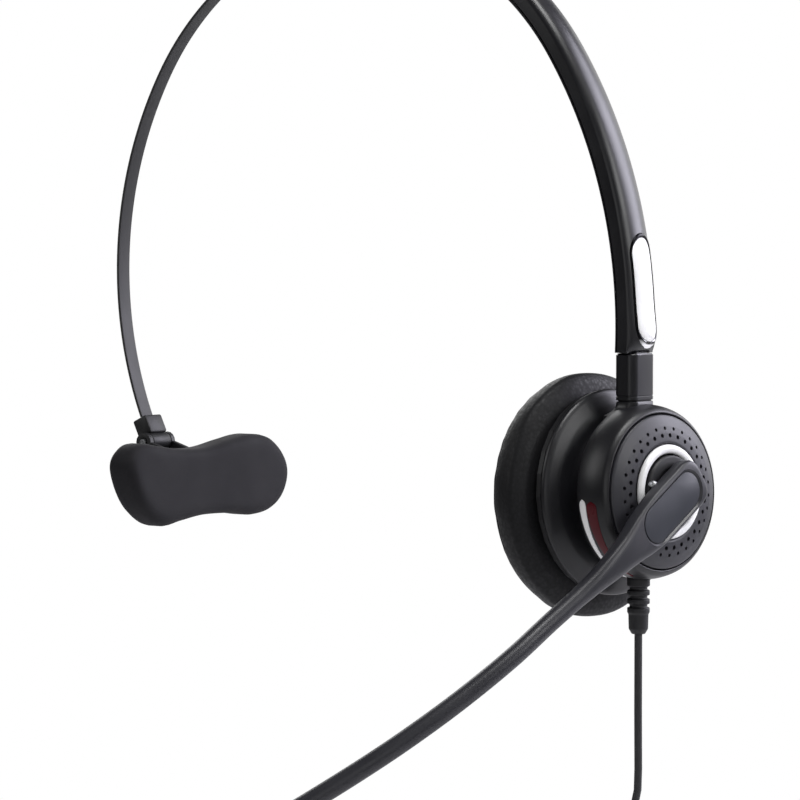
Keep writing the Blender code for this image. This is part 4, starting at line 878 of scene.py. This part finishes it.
def make_cap():
    """Domed plate with two staggered rows of small holes."""
    ledge, hub_hole, shaft_hole, seat_r = RIM_AT + 1.7, HUB_R + 0.3, 3.3, RING_R + 0.3
    profile = [(PLATE_R, RIM_AT - 1.2), (PLATE_R, RIM_AT + 0.28), (PLATE_R - 0.45, RIM_AT + 0.62),
               (16.5, RIM_AT + 1.5), (14.8, RIM_AT + 1.92), (RING_R + 0.75, RIM_AT + 2.2),
               (seat_r, RIM_AT + 2.0), (seat_r, ledge), (hub_hole, ledge),
               (hub_hole, WELL_FLOOR), (shaft_hole, WELL_FLOOR), (shaft_hole, WELL_FLOOR - 1.0),
               (RING_R - RING_W - 0.4, WELL_FLOOR - 1.0), (RING_R + 0.9, RIM_AT + 0.7),
               (PLATE_R - 0.5, RIM_AT - 1.2)]
    cap = piece("cap_disc", turned(profile, 128, 0.22, True), cap_abs, "ear_cup", ["cap_plate"], CUP_FRAME,
                40)
    drills = bmesh.new()
    for radius, size, shift in HOLE_ROWS:
        for k in range(HOLES):
            angle = 2 * pi * (k + shift) / HOLES
            place = Matrix.Translation((radius * cos(angle), radius * sin(angle), RIM_AT))
            bmesh.ops.create_cone(drills, cap_ends=True, segments=14, radius1=size, radius2=size, depth=6,
                                  matrix=TO_METRES @ CUP_FRAME @ place)
    cut_away(cap, drills)
    cap.data.set_sharp_from_angle(angle=radians(40))


def make_ring():
    """Bright ring round the hub: a low crown between an outer and an inner wall."""
    high, low, inner = HUB_TOP - 0.4, RIM_AT + 2.0, RING_R - RING_W
    profile = [(RING_R, low), (RING_R, high - 0.7), (RING_R - 0.5, high - 0.1), (RING_R - 1.1, high),
               (inner + 0.4, high - 0.1), (inner, high - 0.5), (inner, low)]
    piece("pivot_bright_ring", turned(profile, 128, 0.2, True), pearl_silver, "ear_cup", ["pivot_ring"],
          CUP_FRAME, 60)


def crescent(name, low, high, lift, material, stands_for, start, stop):
    """Bar let into the drum's side between two depths, blunt at its upper end and thin at its lower."""
    steps, sunk = 48, -0.35

    def point(u, v):
        angle = start + (stop - start) * v
        along = v if start < 1.5 * pi else 1 - v
        full = min(1.0, along / 0.05) ** 0.5 * (1 - 0.85 * along ** 1.3)
        middle, half = (low + high) / 2, (high - low) / 2 * max(0.03, full)
        section = [(-half, sunk), (-half, lift * 0.7), (-half * 0.6, lift), (half * 0.6, lift),
                   (half, lift * 0.7), (half, sunk)]
        across, rise = section[round(u * len(section)) % len(section)]
        r = drum_r(middle + across) + rise
        return Vector((r * cos(angle), r * sin(angle), middle + across))

    piece(name, skin(6, steps, point), material, "ear_cup", [stands_for], CUP_FRAME, 50)


def make_accents():
    """A silver strip with a red lens beside it, low on the drum's front and again on its rear."""
    first, last = radians(2), radians(72)
    spans = {"front": (pi + first, pi + last), "rear": (2 * pi - last, 2 * pi - first)}
    for side, (start, stop) in spans.items():
        crescent(f"silver_strip_{side}", 1.0, 3.2, 0.20, pearl_silver, f"accent_silver_{side}",
                 start, stop)
        crescent(f"red_lens_{side}", 3.3, 6.3, 0.12, red_lens, f"accent_red_{side}",
                 start + radians(1.5), stop - radians(1.5))


def make_cushion():
    """Leatherette ring: a smooth side band, a sewn seam, and a full roll round the ear, slightly puckered."""
    back_at, face, widest = -10.9, -25.0, -14.8
    roll_r, roll_w, full = 20.0, 11.3, 0.92
    seam_turn = 36

    def roll(turn, depth):
        """Outer half of the ring's section: turn in degrees from its widest place, toward this depth."""
        a = radians(turn)
        return roll_r + roll_w * cos(a) ** full, widest + (depth - widest) * sin(a) ** full

    back = [roll(turn, back_at) for turn in (88, 70, 50, 35, 20, 8)]
    front = [roll(turn, face) for turn in (0, 8, 16, 24, 31)]
    seam_r, seam = roll(seam_turn, face)
    lower = [roll(turn, face) for turn in (41, 48, 56, 64, 72, 80, 88)]
    profile = (back + front + [(seam_r - 0.55, seam + 0.15)] + lower
               + [(17.8, face + 0.1), (14.6, face + 0.7), (12.0, face + 2.2), (10.4, face + 4.6),
                  (9.7, face + 8.0), (9.6, back_at - 1.0), (9.6, back_at)])
    bm = turned(profile, 240, 0.35, True)
    for vert in bm.verts:
        r = sqrt(vert.co.x ** 2 + vert.co.y ** 2)
        angle = atan2(vert.co.y, vert.co.x)
        near_seam = max(0.0, 1 - abs(vert.co.z - seam) / 3.4) if r > 24 else 0.0
        inner = max(0.0, 1 - abs(r - 12.5) / 4.0) if vert.co.z < face + 5 else 0.0
        drift = noise.noise(Vector((cos(angle) * 2.3, sin(angle) * 2.3, vert.co.z * 0.09)))
        pucker = sin(angle * 34 + 2.2 * sin(angle * 5))
        pucker *= 0.6 + 0.8 * noise.noise(Vector((angle * 3, 1, 0)))
        creep = 0.16 * near_seam * pucker + 0.12 * inner * sin(angle * 19 + 1.5 * sin(angle * 3))
        grow = 1 + (creep + 0.38 * drift * (r > 20)) / r
        vert.co.x *= grow
        vert.co.y *= grow
        vert.co.z += 0.25 * inner * drift
        if r > 24:      # the soft ring settles a little on its flange
            vert.co.y -= CUSHION_SETTLE
    cushion = piece("ear_cushion_pad", bm, pu_leather, "ear_cup", ["ear_cushion"], CUP_FRAME, 80)
    piping_r = 0.28
    piping = [(seam_r - 0.3 + piping_r * cos(pi * k / 4), seam + 0.15 + piping_r * sin(pi * k / 4))
              for k in range(8)]
    piece("cushion_seam_cord", turned(piping, 160, 0, True), pu_leather, "ear_cup", (),
          CUP_FRAME @ Matrix.Translation((0, -CUSHION_SETTLE, 0)), 80)


make_housing()
make_cap()
make_ring()
make_accents()
make_cushion()

# ---------------------------------------------------------------- boom

BOOM_DIR = Vector((-cos(BOOM_DROP), -sin(BOOM_DROP), 0))
BOOM_SIDE = Vector((-sin(BOOM_DROP), cos(BOOM_DROP), 0))
PADDLE_RISE = HUB_TOP - RIM_AT + 0.3 + PADDLE_T / 2
# distance along the boom from the hub's middle, with its height over the rim, and with its half width
BOOM_ROUTE = [(-9, PADDLE_RISE), (24, PADDLE_RISE), (34, 5.4), (44, 3.7), (54, 2.0), (66, 0.4), (78, -2.4),
              (90, -6.2), (104, -12.0), (120, -20.4), (136, -30.2), (BOOM_L, -41.2)]
TUBE, PADDLE = BOOM_D / 2, PADDLE_W / 2
WIDTHS = [(-9, PADDLE), (0, PADDLE), (10, PADDLE), (18, PADDLE - 0.9), (24, PADDLE - 2.1), (30, TUBE + 1.1),
          (38, TUBE + 0.3), (46, TUBE), (60, TUBE), (BOOM_L, TUBE)]


def boom_point(x):
    """Centre line of the boom at this distance along it, in the cup's frame."""
    return BOOM_DIR * x + Vector((0, 0, RIM_AT + smooth_value(BOOM_ROUTE, x)))


def boom_out(x):
    """The boom's outward direction at this distance along it, square to its centre line."""
    ahead = boom_point(x + 0.5) - boom_point(x - 0.5)
    out = ahead.normalized().cross(BOOM_SIDE).normalized()
    return out if out.z > 0 else -out


def make_boom():
    """Paddle over the hub, its edges eased, running into the round tube that curves in toward the mouth."""
    # places along the boom, each with its share of the full section: a rounded end, then even steps
    ends = [(-6.9, 0.55), (-6.8, 0.66), (-6.5, 0.76), (-6.0, 0.85), (-5.2, 0.92), (-4.2, 0.97), (-3.0, 1.0)]
    steps, run = 120, BOOM_L + 3.0
    places = ends + [(-3.0 + run * k / steps, 1.0) for k in range(1, steps + 1)]
    thickness = [(-9, PADDLE_T / 2), (30, PADDLE_T / 2), (44, TUBE), (60, TUBE), (BOOM_L, TUBE)]

    def point(u, v):
        x, shrink = places[round(v * (len(places) - 1))]
        half_w = smooth_value(WIDTHS, x)
        half_t = smooth_value(thickness, x)
        # the section is round in the tube and nearly square in the paddle
        power = 2.0 + 3.4 * min(1.0, max(0.0, (half_w - TUBE) / (PADDLE - TUBE)))
        a = 2 * pi * u
        side = abs(cos(a)) ** (2 / power) * (1 if cos(a) > 0 else -1)
        rise = abs(sin(a)) ** (2 / power) * (1 if sin(a) > 0 else -1)
        easing = 1.0 if shrink > 0.99 else 0.82 + 0.18 * shrink
        return boom_point(x) + BOOM_SIDE * (half_w * shrink * side) + boom_out(x) * (half_t * easing * rise)

    boom = piece("boom_paddle_and_tube", skin(48, len(places) - 1, point), boom_abs, "boom", ["boom_arm"],
                 CUP_FRAME, 50)
    heading = Matrix.Rotation(atan2(BOOM_DIR.y, BOOM_DIR.x) - pi / 2, 4, "Z")
    panel_at = Matrix.Translation(BOOM_DIR * 6.6) @ heading
    top = RIM_AT + PADDLE_RISE + PADDLE_T / 2
    # a shallow recess with a sloping wall all round, and a panel that lies in it with a fine gap
    length, width, slope, gap = 23.6, 9.6, 2.0, 0.4
    recess = plate(stadium(length, width, 20), top - 0.62, top + 0.5)
    for vert in recess.verts:
        if vert.co.z > top:
            vert.co.x *= 1 + slope / width
            vert.co.y *= 1 + slope / length
    bmesh.ops.recalc_face_normals(recess, faces=recess.faces)
    bmesh.ops.transform(recess, matrix=TO_METRES @ CUP_FRAME @ panel_at, verts=recess.verts)
    cut_away(boom, recess)
    boom.data.set_sharp_from_angle(angle=radians(40))
    panel = plate(stadium(length - gap, width - gap, 20), top - 0.60, top - 0.36, 0.12)
    piece("paddle_panel", panel, panel_abs, "boom", ["boom_insert"], CUP_FRAME @ panel_at, 40)


def make_hub():
    """Hub that fills the ring's middle on its shaft, with a shallow groove round its face."""
    shaft_r = 3.0
    profile = [(0.0, WELL_FLOOR - 2.0), (shaft_r, WELL_FLOOR - 2.0), (shaft_r, WELL_FLOOR + 0.3),
               (HUB_R, WELL_FLOOR + 0.3),
               (HUB_R, HUB_TOP - 0.4), (HUB_R - 0.4, HUB_TOP), (6.2, HUB_TOP), (5.9, HUB_TOP - 0.3),
               (5.3, HUB_TOP - 0.3), (5.0, HUB_TOP), (0.0, HUB_TOP)]
    piece("hub_disc", turned(profile, 96, 0.15), inner_abs, "boom", ["boom_hub"], CUP_FRAME, 40)


def make_peg():
    """Index peg that stops the boom, standing at the hub's edge beside the paddle."""
    r = 0.95
    profile = [(0.0, WELL_FLOOR), (r, WELL_FLOOR), (r, HUB_TOP + 0.9), (r - 0.35, HUB_TOP + 1.35),
               (0.0, HUB_TOP + 1.4)]
    piece("index_peg", turned(profile, 24, 0.25), steel, "boom", ["hub_index_peg"],
          CUP_FRAME @ Matrix.Translation((-7.8, 2.2, 0)), 50)


make_boom()
make_hub()
make_peg()

# ---------------------------------------------------------------- temple pad

PAD_HALF_T = 5.0
PAD_FACE_X = -48.0
PAD_CENTRE = Vector((PAD_FACE_X - PAD_HALF_T, 0, -148.96))
# the pad's outline seen from its face, in (across, up): two lobes with a waist between them
PAD_SHAPE = [(-35.6, 5.0), (-33.8, 9.2), (-29.0, 11.2), (-21.5, 10.2), (-12, 9.0), (-1, 9.0), (10, 10.6),
             (20, 11.7), (29.0, 9.8), (35.4, 3.2), (35.0, -4.0), (29.6, -9.4), (20.5, -11.2), (9, -10.0),
             (-3, -9.8), (-13, -10.8), (-21.0, -11.6), (-28.0, -8.2), (-32.8, -2.6)]


def pad_outline(u):
    """Smooth closed outline through the pad's shape, in (across, up)."""
    count = len(PAD_SHAPE)
    place = u * count
    k, t = int(place) % count, place - int(place)
    p0, p1, p2, p3 = [PAD_SHAPE[(k + j - 1) % count] for j in range(4)]
    return [0.5 * (2 * p1[i] + (p2[i] - p0[i]) * t + (2 * p0[i] - 5 * p1[i] + 4 * p2[i] - p3[i]) * t * t
                   + (3 * p1[i] - p0[i] - 3 * p2[i] + p3[i]) * t ** 3) for i in (0, 1)]


def make_pad():
    """Soft pad: flat on its inner face, full edges, and a low crown on its back."""
    # share of the way in from the outline, and depth from the middle, from the back to the face
    profile = [(0.92, -4.95), (0.6, -4.95), (0.3, -4.9), (0.17, -4.6), (0.07, -3.9), (0.015, -2.9),
               (0.0, -1.8), (0.0, 0.0), (0.0, 1.9), (0.02, 3.0), (0.07, 3.95), (0.15, 4.6), (0.26, 4.9),
               (0.4, PAD_HALF_T), (0.65, PAD_HALF_T), (0.92, PAD_HALF_T)]
    spine = 0.72      # length of the line that the outline closes in to, as a share of the pad's own

    def point(u, v):
        share, depth = profile[round(v * (len(profile) - 1))]
        y, z = pad_outline(u % 1.0)
        y, z = y + (y * spine - y) * share, z * (1 - share)
        sway = 0.12 * noise.noise(Vector((y * 0.12, z * 0.12, depth * 0.1)))
        return PAD_CENTRE + Vector((depth + (sway if abs(depth) > 3 else 0), y, z))

    bm = skin(192, len(profile) - 1, point)
    pad = piece("temple_pad_soft", bm, pad_rubber, "pad", ["temple_pad"], WORLD, 80)


make_pad()

# ---------------------------------------------------------------- other pieces and the rest of the frame

from_cad("pad_back_bracket", "pad_bracket", inner_abs, "pad", 0.25, (-64.0, -141.6))
from_cad("band_end_socket", "band_end_clip", inner_abs, "headband", 0.25)
from_cad("mic_shell_back", "mic_back_shell", black_abs, "boom", 0.0)
from_cad("mic_shell_front", "mic_front_shell", black_abs, "boom", 0.0)

FINISHES = {
    steel: ["band_rivet_1", "band_rivet_2", "slider_strip", "click_spring", "pad_hinge_pin", "swivel_clip",
            "friction_washer", "hub_retainer", "hub_screw", "speaker_magnet", "mic_capsule"],
    inner_abs: ["baffle_plate"],
    frame_pbt: ["speaker_frame"],
    acoustic_cloth: ["speaker_cloth"],
    dome_pet: ["speaker_diaphragm"],
    board_mask: ["terminal_board"],
    relief_tpe: ["plug_boot"],
    plug_pc: ["plug_body"],
    gold: CONTACTS,
}
for material, names in FINISHES.items():
    for name in names:
        mesh = frame["nodes"][name].data
        mesh.materials.clear()
        mesh.materials.append(material)
